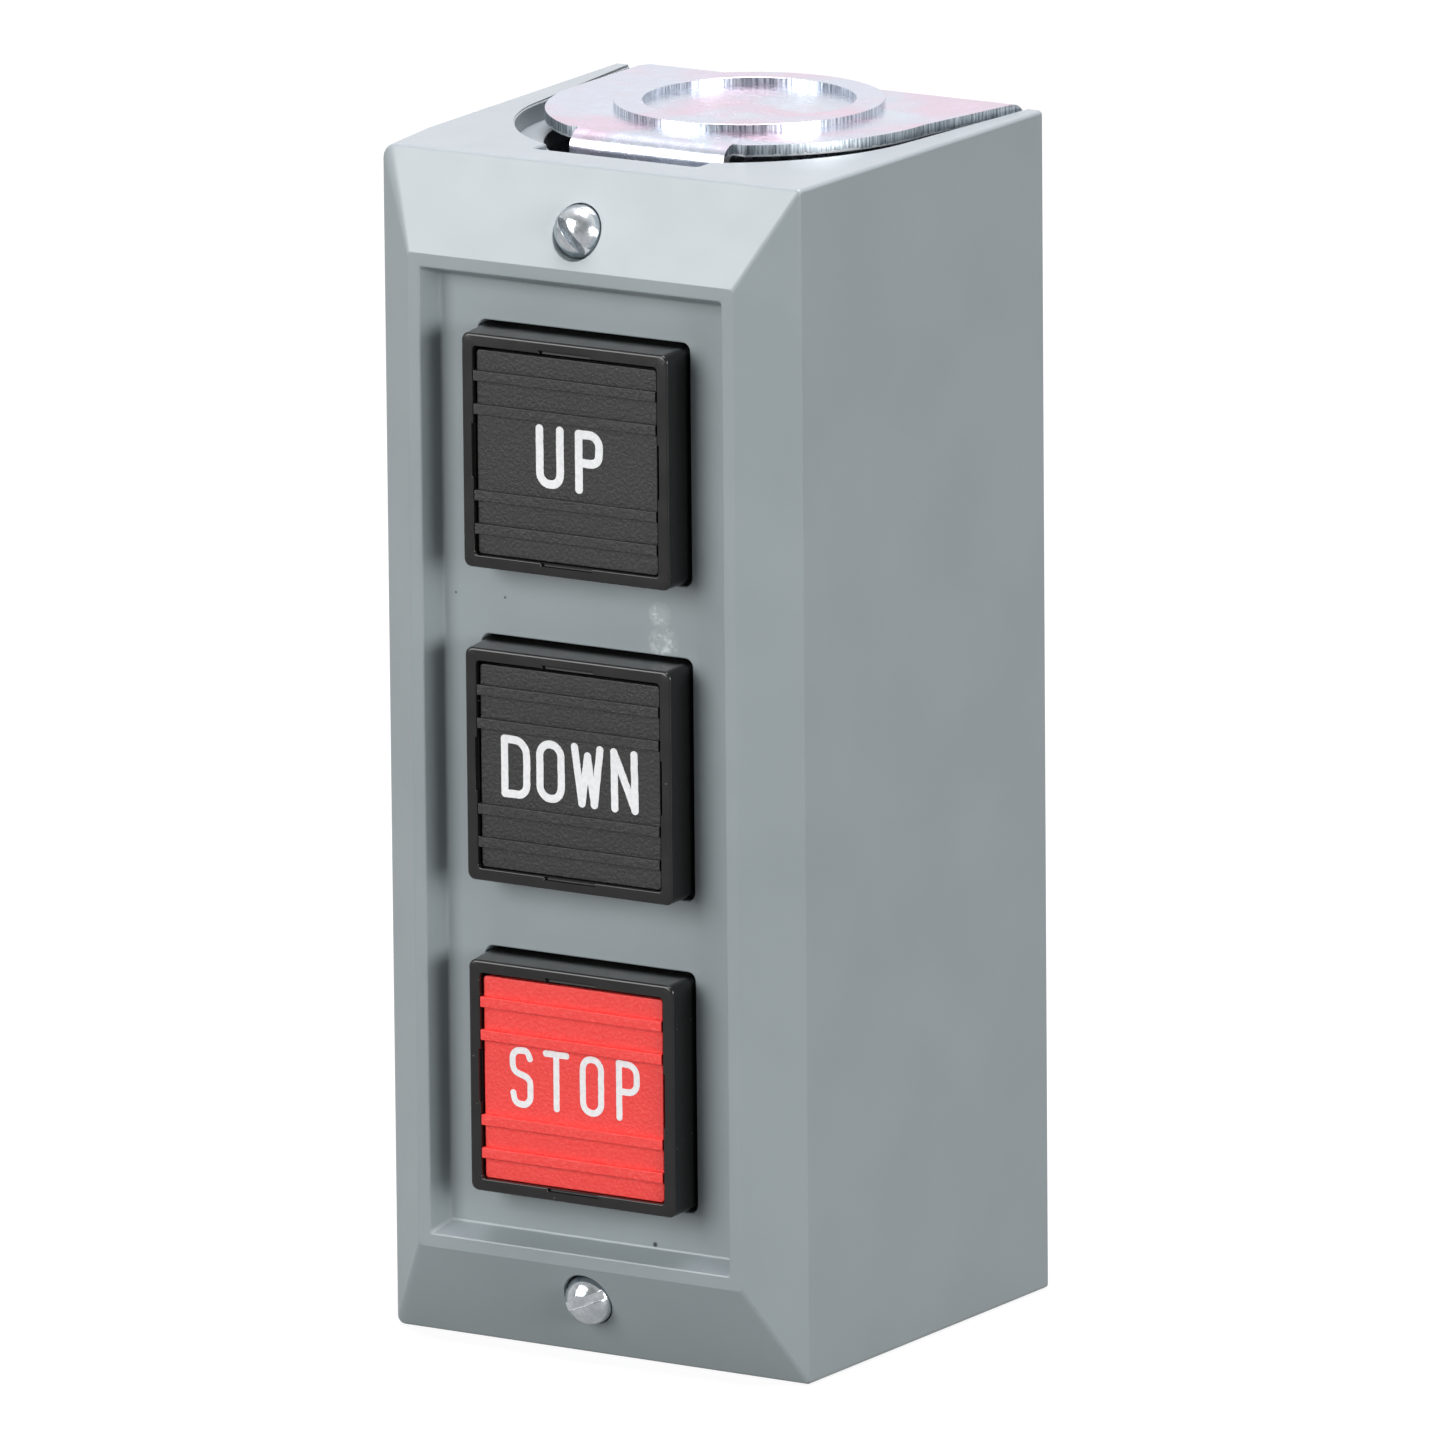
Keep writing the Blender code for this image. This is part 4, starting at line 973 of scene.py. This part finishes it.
# %% [markdown]
# ## Ribs across the legend plates
#
# Four ribs cross each plate, two above the word and two below. They repeat, so a tree makes one
# rib with a rounded profile, sets it at two heights, turns the pair half round for the other two,
# and unites them with the plate.

# %% Rib tree and legend plates
LEGEND_HALF = (10.9, 10.75)
LEGEND_FACE = (REAR_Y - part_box("up_legend")[0].y) / MM - 0.45
LEGEND_AT = (-0.05, -0.36)       # each plate sits low and a little left in its cap

rib_tree, given = geometry_tree("legend_ribs", [
    ("Inner Height", 4.53 * MM), ("Outer Height", 8.04 * MM), ("Rib Width", 1.1 * MM),
    ("Rib Height", 0.5 * MM), ("Rib Length", 22.0 * MM), ("Edge Radius", 0.08 * MM)])
socket = given.outputs
half_length = add(rib_tree, "ShaderNodeMath", {0: socket["Rib Length"], 1: 0.5},
                  operation="MULTIPLY")
minus_half = add(rib_tree, "ShaderNodeMath", {0: half_length, 1: -1.0}, operation="MULTIPLY")
start = add(rib_tree, "ShaderNodeCombineXYZ", {0: minus_half})
end = add(rib_tree, "ShaderNodeCombineXYZ", {0: half_length})
line = add(rib_tree, "GeometryNodeCurvePrimitiveLine", {0: start, 1: end})
double_height = add(rib_tree, "ShaderNodeMath", {0: socket["Rib Height"], 1: 2.0},
                    operation="MULTIPLY")
profile = add(rib_tree, "GeometryNodeCurvePrimitiveQuadrilateral",
              {"Width": double_height, "Height": socket["Rib Width"]})
round_profile = add(rib_tree, "GeometryNodeFilletCurve",
                    {"Curve": profile, "Radius": socket["Edge Radius"], "Count": 3}, mode="POLY")
bar = add(rib_tree, "GeometryNodeCurveToMesh",
          {"Curve": line, "Profile Curve": round_profile, "Fill Caps": True})
pitch = add(rib_tree, "ShaderNodeMath", {0: socket["Outer Height"], 1: socket["Inner Height"]},
            operation="SUBTRACT")
first = add(rib_tree, "ShaderNodeCombineXYZ", {2: socket["Inner Height"]})
step = add(rib_tree, "ShaderNodeCombineXYZ", {2: pitch})
places = add(rib_tree, "GeometryNodeMeshLine",
             {"Count": 2, "Start Location": first, "Offset": step})
pair = add(rib_tree, "GeometryNodeInstanceOnPoints", {"Points": places, "Instance": bar})
turned_pair = add(rib_tree, "GeometryNodeTransform",
                  {"Geometry": pair, "Rotation": (0, math.pi, 0)})
ribs = add(rib_tree, "GeometryNodeJoinGeometry", {0: [pair, turned_pair]})
real_ribs = add(rib_tree, "GeometryNodeRealizeInstances", {0: ribs})
united = add(rib_tree, "GeometryNodeMeshBoolean",
             {"Mesh 2": [socket["Geometry"], real_ribs], "Self Intersection": True},
             operation="UNION", solver="EXACT")
close_tree(rib_tree, given, united)


def legend_plate():
    """The plate about its own middle, its face on the plane y = 0."""
    half_x, half_z = LEGEND_HALF
    rear = LEGEND_FACE - 1.2
    path = rounded_path([(0.4, rear), (0.4, rear + 0.4), (0, rear + 0.4), (0, LEGEND_FACE),
                         (1, LEGEND_FACE)], [0, 0.1, 0.12], 3)
    mesh = loft([rectangle_loop(half_x - inset, half_z - inset, depth, 0.35)
                 for inset, depth in path])
    mesh.transform(Matrix.Translation(-place(0, LEGEND_FACE, 0)))
    return mesh


for unit, finish in (("up", BLACK_GRAIN), ("down", BLACK_GRAIN), ("stop", RED_GRAIN)):
    mesh = grow(rib_tree, finish, legend_plate())
    middle = place(LEGEND_AT[0], LEGEND_FACE, UNIT_Z[unit] + LEGEND_AT[1])
    mesh.transform(Matrix.Translation(middle))
    piece(f"{unit}_legend_plate", mesh, [finish], f"{unit}_button",
          [f"{unit}_legend"])

# %% [markdown]
# ## Words on the plates
#
# UP, DOWN and STOP are plain single-stroke capitals, as a pantograph engraver or a hot stamp
# makes them: every stroke has one width and round ends. So a letter is a set of paths. A tree
# turns each path into a ribbon with a disc at both ends, lets the edge wander by a few
# hundredths of a millimetre, and unites it all into one closed film of white ink.

# %% White ink and the stroke tree
WHITE_INK, tree, shader, where = new_material("stamped_white_ink", "#EDEFF0", 0.5)
cover_share = add(tree, "ShaderNodeTexNoise", {"Vector": where, "Scale": millimetres(0.5),
                                               "Detail": 3})
share = add(tree, "ShaderNodeMapRange", {0: cover_share, 1: 0.35, 2: 0.6})
tint = add(tree, "ShaderNodeMix", {0: share, 6: linear("#EBEDEE"), 7: linear("#F6F7F8")},
           data_type="RGBA")
lumps = add(tree, "ShaderNodeTexNoise", {"Vector": where, "Scale": millimetres(0.3), "Detail": 2})
relief = add(tree, "ShaderNodeBump", {"Height": lumps, "Distance": 0.004 * MM})
feed(shader, {"Base Color": tint, "Normal": relief})

ink_tree, given = geometry_tree("ink_strokes", [
    ("Stroke Width", 0.88 * MM), ("Ink Height", 0.07 * MM), ("Waver", 0.12 * MM),
    ("Step", 0.25 * MM), ("Seed", 3.0)])
socket = given.outputs
paths = add(ink_tree, "GeometryNodeMeshToCurve", {0: socket["Geometry"]})
fine = add(ink_tree, "GeometryNodeResampleCurve", {"Curve": paths, "Length": socket["Step"]},
           mode="LENGTH")
shift = add(ink_tree, "ShaderNodeTexNoise", {"Scale": millimetres(0.9), "W": socket["Seed"]},
            noise_dimensions="4D").outputs["Color"]
centred = add(ink_tree, "ShaderNodeVectorMath", {0: shift, 1: (0.5, 0.5, 0.5)},
              operation="SUBTRACT")
scaled = add(ink_tree, "ShaderNodeVectorMath", {0: centred, "Scale": socket["Waver"]},
             operation="SCALE")
flat = add(ink_tree, "ShaderNodeVectorMath", {0: scaled, 1: (1, 1, 0)}, operation="MULTIPLY")
wavy = add(ink_tree, "GeometryNodeSetPosition", {"Geometry": fine, "Offset": flat})
level = add(ink_tree, "GeometryNodeSetCurveNormal", {"Curve": wavy}, mode="Z_UP")
profile = add(ink_tree, "GeometryNodeCurvePrimitiveQuadrilateral",
              {"Width": socket["Stroke Width"], "Height": socket["Ink Height"]})
ribbon = add(ink_tree, "GeometryNodeCurveToMesh",
             {"Curve": level, "Profile Curve": profile, "Fill Caps": True})
radius = add(ink_tree, "ShaderNodeMath", {0: socket["Stroke Width"], 1: 0.5},
             operation="MULTIPLY")
disc = add(ink_tree, "GeometryNodeMeshCylinder",
           {"Vertices": 32, "Radius": radius, "Depth": socket["Ink Height"]})
ends = add(ink_tree, "GeometryNodeCurveEndpointSelection")
turn = add(ink_tree, "FunctionNodeRandomValue", {"Max": (0, 0, 3.0), "Seed": 5},
           data_type="FLOAT_VECTOR")
swell = add(ink_tree, "FunctionNodeRandomValue",
            {"Min": (1.01, 1.01, 1.02), "Max": (1.03, 1.03, 1.10), "Seed": 8},
            data_type="FLOAT_VECTOR")
discs = add(ink_tree, "GeometryNodeInstanceOnPoints",
            {"Points": level, "Selection": ends, "Instance": disc, "Rotation": turn,
             "Scale": swell})
real_discs = add(ink_tree, "GeometryNodeRealizeInstances", {0: discs})
film = add(ink_tree, "GeometryNodeMeshBoolean",
           {"Mesh 2": [ribbon, real_discs], "Self Intersection": True},
           operation="UNION", solver="EXACT")
close_tree(ink_tree, given, film)

# %% [markdown]
# ## Strokes
#
# Each stroke is a path in millimetres on the plate, with the radius of each inner corner. A word
# also has its stroke width, and its place to the right of the plate's middle.

# %% Stroke paths and words
WORDS = {
    "up": (0.9, 0.25, [
        ([(-3.6, 2.83), (-3.6, -2.93), (-1.14, -2.93), (-1.14, 2.83)], [1.15, 1.15]),
        ([(1.13, -3.05), (1.13, 2.74)], []),
        ([(1.13, 2.74), (3.59, 2.74), (3.59, -0.25), (1.13, -0.25)], [1.2, 0.95]),
    ]),
    "down": (0.84, -0.1, [
        ([(-7.93, -2.98), (-7.93, 2.76)], []),
        ([(-7.93, 2.76), (-5.25, 2.76), (-5.25, -2.98), (-7.93, -2.98)], [1.5, 1.1]),
        ([(-3.64, 0), (-3.64, 2.8), (-1.06, 2.8), (-1.06, -2.98), (-3.64, -2.98), (-3.64, 0)],
         [1.28, 1.28, 1.28, 1.28]),
        ([(0.59, 2.87), (1.44, -3.02)], []), ([(1.44, -3.02), (2.16, 2.04)], []),
        ([(2.16, 2.04), (2.95, -3.01)], []), ([(2.95, -3.01), (3.68, 2.85)], []),
        ([(5.42, -3.05), (5.38, 2.84)], []), ([(5.38, 2.84), (7.9, -3.05)], []),
        ([(7.9, -3.05), (7.82, 2.8)], []),
    ]),
    "stop": (0.7, 0.1, [
        ([(-5.46, 2.2), (-5.75, 2.97), (-7.57, 2.97), (-7.57, 0.72), (-5.42, 0.08),
          (-5.42, -2.77), (-7.25, -2.77), (-7.55, -1.63)], [0.5, 0.95, 0.95, 0.95, 0.95, 0.8]),
        ([(-3.5, 3.03), (-1.02, 3.03)], []), ([(-2.24, 3.03), (-2.24, -2.74)], []),
        ([(0.98, 0), (0.98, 3.06), (3.2, 3.06), (3.2, -2.66), (0.98, -2.66), (0.98, 0)],
         [1.1, 1.1, 1.1, 1.1]),
        ([(5.4, -2.66), (5.4, 3.08)], []),
        ([(5.4, 3.08), (7.56, 3.08), (7.56, 0.1), (5.4, 0.1)], [1.2, 0.95]),
    ]),
}


STROKE_STEP = 0.003     # each stroke lies this much above the last, so that no faces coincide


def stroke_mesh(strokes):
    """The strokes as bare edges on the XY plane.  A path that ends where it starts is closed."""
    bm = bmesh.new()
    for level, (points, radii) in enumerate(strokes):
        path = rounded_path(points, radii, 8)
        closed = (path[0] - path[-1]).length < 1e-6
        verts = [bm.verts.new((x * MM, y * MM, level * STROKE_STEP * MM))
                 for x, y in (path[:-1] if closed else path)]
        for a, b in zip(verts, verts[1:] + verts[:1] if closed else verts[1:]):
            bm.edges.new((a, b))
    mesh = bpy.data.meshes.new("strokes")
    bm.to_mesh(mesh)
    bm.free()
    return mesh


UPRIGHT = Matrix.Rotation(math.pi / 2, 4, "X")
for unit, (width, right_shift, strokes) in WORDS.items():
    mesh = grow(ink_tree, WHITE_INK, stroke_mesh(strokes), 1e-7, stroke_width=width * MM)
    mesh.transform(Matrix.Translation(place(right_shift, LEGEND_FACE, UNIT_Z[unit])) @ UPRIGHT)
    piece(f"{unit}_word", mesh, [WHITE_INK], f"{unit}_button", [])

# %% [markdown]
# ## Cover screws
#
# Two slotted round head screws hold the cover to the tabs. They are machined steel, bright zinc
# plated, so the dome is a small curved mirror: a white lamp at the upper left, the dark hole's
# edge at the right. The slot was cut before plating and is duller inside; here it has the same
# finish as the head.

# %% Screw steel and the coil tree
BRIGHT_ZINC, tree, shader, where = new_material("bright_zinc_screw", "#DCE2E6", 0.16,
                                                metallic=1.0)
scuff = add(tree, "ShaderNodeTexNoise", {"Vector": where, "Scale": millimetres(1.2), "Detail": 5,
                                         "Roughness": 0.7})
gloss = add(tree, "ShaderNodeMapRange", {0: scuff, 1: 0.35, 2: 0.65, 3: 0.10, 4: 0.26})
share = add(tree, "ShaderNodeMapRange", {0: scuff, 1: 0.4, 2: 0.7})
tint = add(tree, "ShaderNodeMix", {0: share, 6: linear("#C9D0D5"), 7: linear("#E6EBEE")},
           data_type="RGBA")
pits = add(tree, "ShaderNodeTexNoise", {"Vector": where, "Scale": millimetres(0.7), "Detail": 3})
relief = add(tree, "ShaderNodeBump", {"Height": pits, "Distance": 0.006 * MM})
feed(shader, {"Base Color": tint, "Roughness": gloss, "Normal": relief})

# The wire's middle climbs by its end rise over each end turn, and by its free rise between them.
coil_tree, given = geometry_tree("coil", [
    ("Mean Radius", 5.75 * MM), ("Wire Radius", 0.45 * MM), ("Turns", 6.0), ("End Share", 0.17),
    ("End Rise", 1.0 * MM), ("Free Rise", 12.0 * MM), ("Points Per Turn", 40), ("Sides", 12)])
socket = given.outputs
rounds = add(coil_tree, "GeometryNodeCurveSpiral",
             {"Resolution": socket["Points Per Turn"], "Rotations": socket["Turns"],
              "Start Radius": socket["Mean Radius"], "End Radius": socket["Mean Radius"],
              "Height": 0.0})
share = add(coil_tree, "GeometryNodeSplineParameter")
last = add(coil_tree, "ShaderNodeMath", {0: 1.0, 1: socket["End Share"]}, operation="SUBTRACT")
near = add(coil_tree, "ShaderNodeMapRange",
           {0: share, 2: socket["End Share"], 4: socket["End Rise"]})
free = add(coil_tree, "ShaderNodeMapRange",
           {0: share, 1: socket["End Share"], 2: last, 4: socket["Free Rise"]})
far = add(coil_tree, "ShaderNodeMapRange", {0: share, 1: last, 4: socket["End Rise"]})
both = add(coil_tree, "ShaderNodeMath", {0: near, 1: far}, operation="ADD")
rise = add(coil_tree, "ShaderNodeMath", {0: both, 1: free}, operation="ADD")
lift = add(coil_tree, "ShaderNodeCombineXYZ", {2: rise})
helix = add(coil_tree, "GeometryNodeSetPosition", {"Geometry": rounds, "Offset": lift})
section = add(coil_tree, "GeometryNodeCurvePrimitiveCircle",
              {"Resolution": socket["Sides"], "Radius": socket["Wire Radius"]})
coil = add(coil_tree, "GeometryNodeCurveToMesh",
           {"Curve": helix, "Profile Curve": section, "Fill Caps": True})
close_tree(coil_tree, given, coil)

# %% Screw shapes
FORWARD = Matrix.Rotation(math.pi / 2, 4, "X")      # a shape built along +Z then points forward


def turned(profile, at=(0, 0), sides=48):
    """A body of revolution about a line of travel, from (radius, depth) points."""
    return loft([round_loop(max(radius, 0.03), depth, at, sides) for radius, depth in profile])


def joined(meshes):
    bm = bmesh.new()
    for mesh in meshes:
        bm.from_mesh(mesh)
    result = bpy.data.meshes.new("joined")
    bm.to_mesh(result)
    bm.free()
    return result


THREAD_PITCH = 0.8
TIP_CHAMFER = 0.5


def slotted_screw(head, seat, core_r, thread_r, tip, slot_w, slot_d):
    """A turned head with its slot, on a threaded shank.  Built on the cover's middle."""
    front = head[0][1]
    profile = [*head, (core_r + 0.15, seat), (core_r, seat - 0.15), (core_r, tip + TIP_CHAMFER),
               (core_r - TIP_CHAMFER, tip)]
    reach = max(radius for radius, depth in head) + 1
    slot = loft([rectangle_loop(reach, slot_w / 2, depth, 0.03)
                 for depth in (front - slot_d, front + 1)])
    body = bevelled(carve(turned(profile), [("DIFFERENCE", slot)]), 0.07, 35)
    length = seat - 0.4 - tip
    thread = grow(coil_tree, BRIGHT_ZINC, None, 1e-7, mean_radius=(core_r + 0.04) * MM,
                  wire_radius=(thread_r - core_r) * MM, turns=length / THREAD_PITCH,
                  end_share=0.01, end_rise=0.01 * length * MM, free_rise=0.98 * length * MM,
                  points_per_turn=20, sides=4)
    thread.transform(Matrix.Translation(place(0, tip + 0.2, 0)) @ FORWARD)
    return joined([body, thread])


def dome(radius, height, seat, steps=9):
    """A round head from its apex down to its straight band."""
    points = []
    for i in range(steps + 1):
        angle = math.pi / 2 * (1 - i / steps)
        points.append((radius * math.cos(angle), seat + height * math.sin(angle)))
    return points


HEAD_R, HEAD_BAND, HEAD_DOME = 2.75, 1.0, 2.2
SCREW_CORE, SCREW_THREAD, SCREW_TIP, SCREW_SLOT = 1.12, 1.42, 33.15, (0.95, 1.25)
for end, name, slot_angle in ((1, "top", 50), (-1, "bottom", -23)):
    head = dome(HEAD_R, HEAD_DOME, HEAD_SEAT + HEAD_BAND) + [(HEAD_R, HEAD_SEAT)]
    mesh = slotted_screw(head, HEAD_SEAT, SCREW_CORE, SCREW_THREAD, SCREW_TIP, *SCREW_SLOT)
    mesh.transform(Matrix.Translation(place(0, 0, end * SCREW_Z))
                   @ Matrix.Rotation(math.radians(slot_angle), 4, "Y")
                   @ Matrix.Translation(-place(0, 0, 0)))
    piece(f"{name}_slotted_screw", mesh, [BRIGHT_ZINC], "root",
          [f"cover_screw_{name}"], sharp=35)

# %% [markdown]
# ## Rows of screws inside
#
# Behind the panel, each contact block has two fixing screws and two terminal screws, always at
# the same pitch as the buttons. A tree sets one screw along a row and gives each its own turn,
# as screws end up when they are tightened. The seed is fixed, so the turns never change.

# %% Row tree, terminal and block screws
row_tree, given = geometry_tree("row", [
    ("Count", 3), ("Offset", Vector((0, 0, 33.1 * MM))), ("Most Turn", math.pi), ("Seed", 4)])
socket = given.outputs
points = add(row_tree, "GeometryNodeMeshLine",
             {"Count": socket["Count"], "Offset": socket["Offset"]})
most = add(row_tree, "ShaderNodeCombineXYZ", {1: socket["Most Turn"]})
turn = add(row_tree, "FunctionNodeRandomValue", {1: most, "Seed": socket["Seed"]},
           data_type="FLOAT_VECTOR")
row = add(row_tree, "GeometryNodeInstanceOnPoints",
          {"Points": points, "Instance": socket["Geometry"], "Rotation": turn})
close_tree(row_tree, given, row)

PITCH = UNIT_Z["up"] - UNIT_Z["down"]
PAN_HEIGHT, PAN_CORE, PAN_THREAD, PAN_SLOT = 2.2, 1.2, 1.5, (0.9, 1.0)


def screw_row(name, side, kind, head_r, z, seed):
    """The screws of one kind on one side, in a row of three from the lowest."""
    low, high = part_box(f"up_{kind}_screw_{side}")
    seat = (REAR_Y - low.y) / MM - PAN_HEIGHT
    mesh = slotted_screw(pan_head(head_r, PAN_HEIGHT, seat), seat, PAN_CORE, PAN_THREAD,
                         (REAR_Y - high.y) / MM, *PAN_SLOT)
    mesh.transform(Matrix.Translation(-place(0, 0, 0)))
    row_mesh = grow(row_tree, BRIGHT_ZINC, mesh, 1e-7,
                    offset=Vector((0, 0, PITCH * MM)), seed=seed)
    x = (low.x + high.x) / 2 / MM
    row_mesh.transform(Matrix.Translation(place(x, 0, UNIT_Z["stop"] + z)))
    piece(name, row_mesh, [BRIGHT_ZINC], "root",
          [f"{unit}_{kind}_screw_{side}" for unit in UNITS], sharp=35)


def pan_head(radius, height, seat):
    path = rounded_path([(0.2, seat + height), (radius - 0.25, seat + height), (radius, seat)],
                        [0.7], 5)
    return [tuple(point) for point in path]


for sign, side in ((-1, "left"), (1, "right")):
    screw_row(f"terminal_screws_{side}", side, "terminal", 3.3, 0, 4 + sign)
    screw_row(f"block_screws_{side}", side, "block", 2.75, -sign * BLOCK_SCREW_Z, 8 + sign)

# %% [markdown]
# ## Springs
#
# Each button has a return spring round its plunger, and a small contact spring that lets the
# bridge stay put once it meets its contacts. Both are cold-coiled spring wire with closed end
# turns, so they come from the same coil tree. A spring can't follow a joint whole: a real one
# stays on its seat and flattens as the button goes in, while these keep the shape they are made with.

# %% Springs
SPRING_WIRE, tree, shader, where = new_material("drawn_spring_wire", "#A9ACAE", 0.28,
                                                metallic=1.0)
drawn = add(tree, "ShaderNodeTexNoise", {"Vector": where, "Scale": millimetres(0.8), "Detail": 4,
                                         "Roughness": 0.7})
gloss = add(tree, "ShaderNodeMapRange", {0: drawn, 1: 0.3, 2: 0.7, 3: 0.2, 4: 0.38})
share = add(tree, "ShaderNodeMapRange", {0: drawn, 1: 0.35, 2: 0.7})
tint = add(tree, "ShaderNodeMix", {0: share, 6: linear("#8D9092"), 7: linear("#B8BBBD")},
           data_type="RGBA")
relief = add(tree, "ShaderNodeBump", {"Height": drawn, "Distance": 0.004 * MM})
feed(shader, {"Base Color": tint, "Roughness": gloss, "Normal": relief})


def spring(name, node, body, wire_r, turns, sides, per_turn):
    """A spring in the place of its solid, from its rear end forwards."""
    low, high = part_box(node)
    length = (high.y - low.y) / MM
    outer = (high.x - low.x) / 2 / MM
    rear = (REAR_Y - high.y) / MM
    z = ((low.z + high.z) / 2 - MID_Z) / MM
    end_rise = 2.15 * wire_r
    mesh = grow(coil_tree, SPRING_WIRE, None, 1e-7, mean_radius=(outer - wire_r) * MM,
                wire_radius=wire_r * MM, turns=float(turns), end_share=1 / turns,
                end_rise=end_rise * MM, free_rise=(length - 2 * wire_r - 2 * end_rise) * MM,
                points_per_turn=per_turn, sides=sides)
    mesh.transform(Matrix.Translation(place(0, rear + wire_r, z)) @ FORWARD)
    return piece(name, mesh, [SPRING_WIRE], body, [node]), rear, length, z


for unit in UNITS:
    coil, rear, length, z = spring(f"{unit}_return_coil", f"{unit}_return_spring", "root",
                                   0.45, 6, 14, 40)
    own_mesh(coil)
    coil, rear, length, z = spring(f"{unit}_contact_coil", f"{unit}_contact_spring",
                                   f"{unit}_bridge", 0.2, 5, 10, 32)
    if unit != "stop":
        # The bridge stops at its contacts halfway through the stroke, and the spring takes the rest.
        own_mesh(coil)

# %% [markdown]
# ## Inside pieces
#
# The contact blocks, plungers, terminals, bridges and the ground screw already have their shapes
# as solids. What a solid lacks is the broken edge that every moulded or stamped piece has, so a
# copy of each is merged, cleaned of needless edges, and given a small bevel.

# %% Finishes inside
PHENOLIC, tree, shader, where = new_material("moulded_phenolic", "#2B211C", 0.38, 1.6)
flow = add(tree, "ShaderNodeTexNoise", {"Vector": where, "Scale": millimetres(6), "Detail": 4,
                                        "Distortion": 1.2})
share = add(tree, "ShaderNodeMapRange", {0: flow, 1: 0.35, 2: 0.65})
tint = add(tree, "ShaderNodeMix", {0: share, 6: linear("#241B17"), 7: linear("#352923")},
           data_type="RGBA")
wear = add(tree, "ShaderNodeTexNoise", {"Vector": where, "Scale": millimetres(2), "Detail": 3})
gloss = add(tree, "ShaderNodeMapRange", {0: wear, 1: 0.3, 2: 0.7, 3: 0.3, 4: 0.46})
relief = add(tree, "ShaderNodeBump", {"Height": wear, "Distance": 0.01 * MM})
feed(shader, {"Base Color": tint, "Roughness": gloss, "Normal": relief})

NYLON, tree, shader, where = new_material("moulded_natural_nylon", "#D9D4C2", 0.45, 1.53)
cloud = add(tree, "ShaderNodeTexNoise", {"Vector": where, "Scale": millimetres(5), "Detail": 3})
share = add(tree, "ShaderNodeMapRange", {0: cloud, 1: 0.35, 2: 0.65})
tint = add(tree, "ShaderNodeMix", {0: share, 6: linear("#D2CCB8"), 7: linear("#E0DBCA")},
           data_type="RGBA")
relief = add(tree, "ShaderNodeBump", {"Height": cloud, "Distance": 0.02 * MM})
feed(shader, {"Base Color": tint, "Normal": relief, "Subsurface Weight": 0.15,
              "Subsurface Scale": 0.5 * MM, "Subsurface Radius": (1.0, 0.9, 0.7)})

BRASS, tree, shader, where = new_material("stamped_brass", "#CDB272", 0.28, metallic=1.0)
tarnish = add(tree, "ShaderNodeTexNoise", {"Vector": where, "Scale": millimetres(3), "Detail": 5,
                                           "Roughness": 0.6})
share = add(tree, "ShaderNodeMapRange", {0: tarnish, 1: 0.45, 2: 0.75})
tint = add(tree, "ShaderNodeMix", {0: share, 6: linear("#D3B878"), 7: linear("#A88A50")},
           data_type="RGBA")
gloss = add(tree, "ShaderNodeMapRange", {0: tarnish, 1: 0.3, 2: 0.7, 3: 0.22, 4: 0.4})
relief = add(tree, "ShaderNodeBump", {"Height": tarnish, "Distance": 0.01 * MM})
feed(shader, {"Base Color": tint, "Roughness": gloss, "Normal": relief})

GREEN_ZINC, tree, shader, where = new_material("green_dyed_zinc_screw", "#2F8A52", 0.34,
                                               metallic=0.8)
dye = add(tree, "ShaderNodeTexNoise", {"Vector": where, "Scale": millimetres(1.5), "Detail": 4})
share = add(tree, "ShaderNodeMapRange", {0: dye, 1: 0.35, 2: 0.7})
tint = add(tree, "ShaderNodeMix", {0: share, 6: linear("#26794A"), 7: linear("#4BA56C")},
           data_type="RGBA")
relief = add(tree, "ShaderNodeBump", {"Height": dye, "Distance": 0.008 * MM})
feed(shader, {"Base Color": tint, "Normal": relief})

# %% Softened copies
def softened(node, width, angle=30):
    """The solid's own shape with broken edges."""
    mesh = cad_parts[node].data.copy()
    bm = bmesh.new()
    bm.from_mesh(mesh)
    bmesh.ops.remove_doubles(bm, verts=bm.verts, dist=1e-6)
    bmesh.ops.dissolve_limit(bm, angle_limit=math.radians(0.5), verts=bm.verts, edges=bm.edges)
    bm.to_mesh(mesh)
    bm.free()
    if "custom_normal" in mesh.attributes:
        mesh.attributes.remove(mesh.attributes["custom_normal"])
    return bevelled(mesh, width, angle)


INSIDE_PIECES = []
for unit in UNITS:
    INSIDE_PIECES += [
        (f"{unit}_contact_block", "moulding", "root", PHENOLIC, "phenolic", 0.15),
        (f"{unit}_plunger", "moulding", f"{unit}_button", NYLON, "natural_nylon", 0.15),
        (f"{unit}_bridge", "stamping", f"{unit}_bridge", BRASS, "brass", 0.08),
        (f"{unit}_terminal_left", "stamping", "root", BRASS, "brass", 0.08),
        (f"{unit}_terminal_right", "stamping", "root", BRASS, "brass", 0.08)]
INSIDE_PIECES.append(("ground_screw", "turned", "root", GREEN_ZINC, "green_steel", 0.1))
for node, kind, body, finish, slot_name, width in INSIDE_PIECES:
    piece(f"{node}_{kind}", softened(node, width), [finish], body, [node], sharp=35)
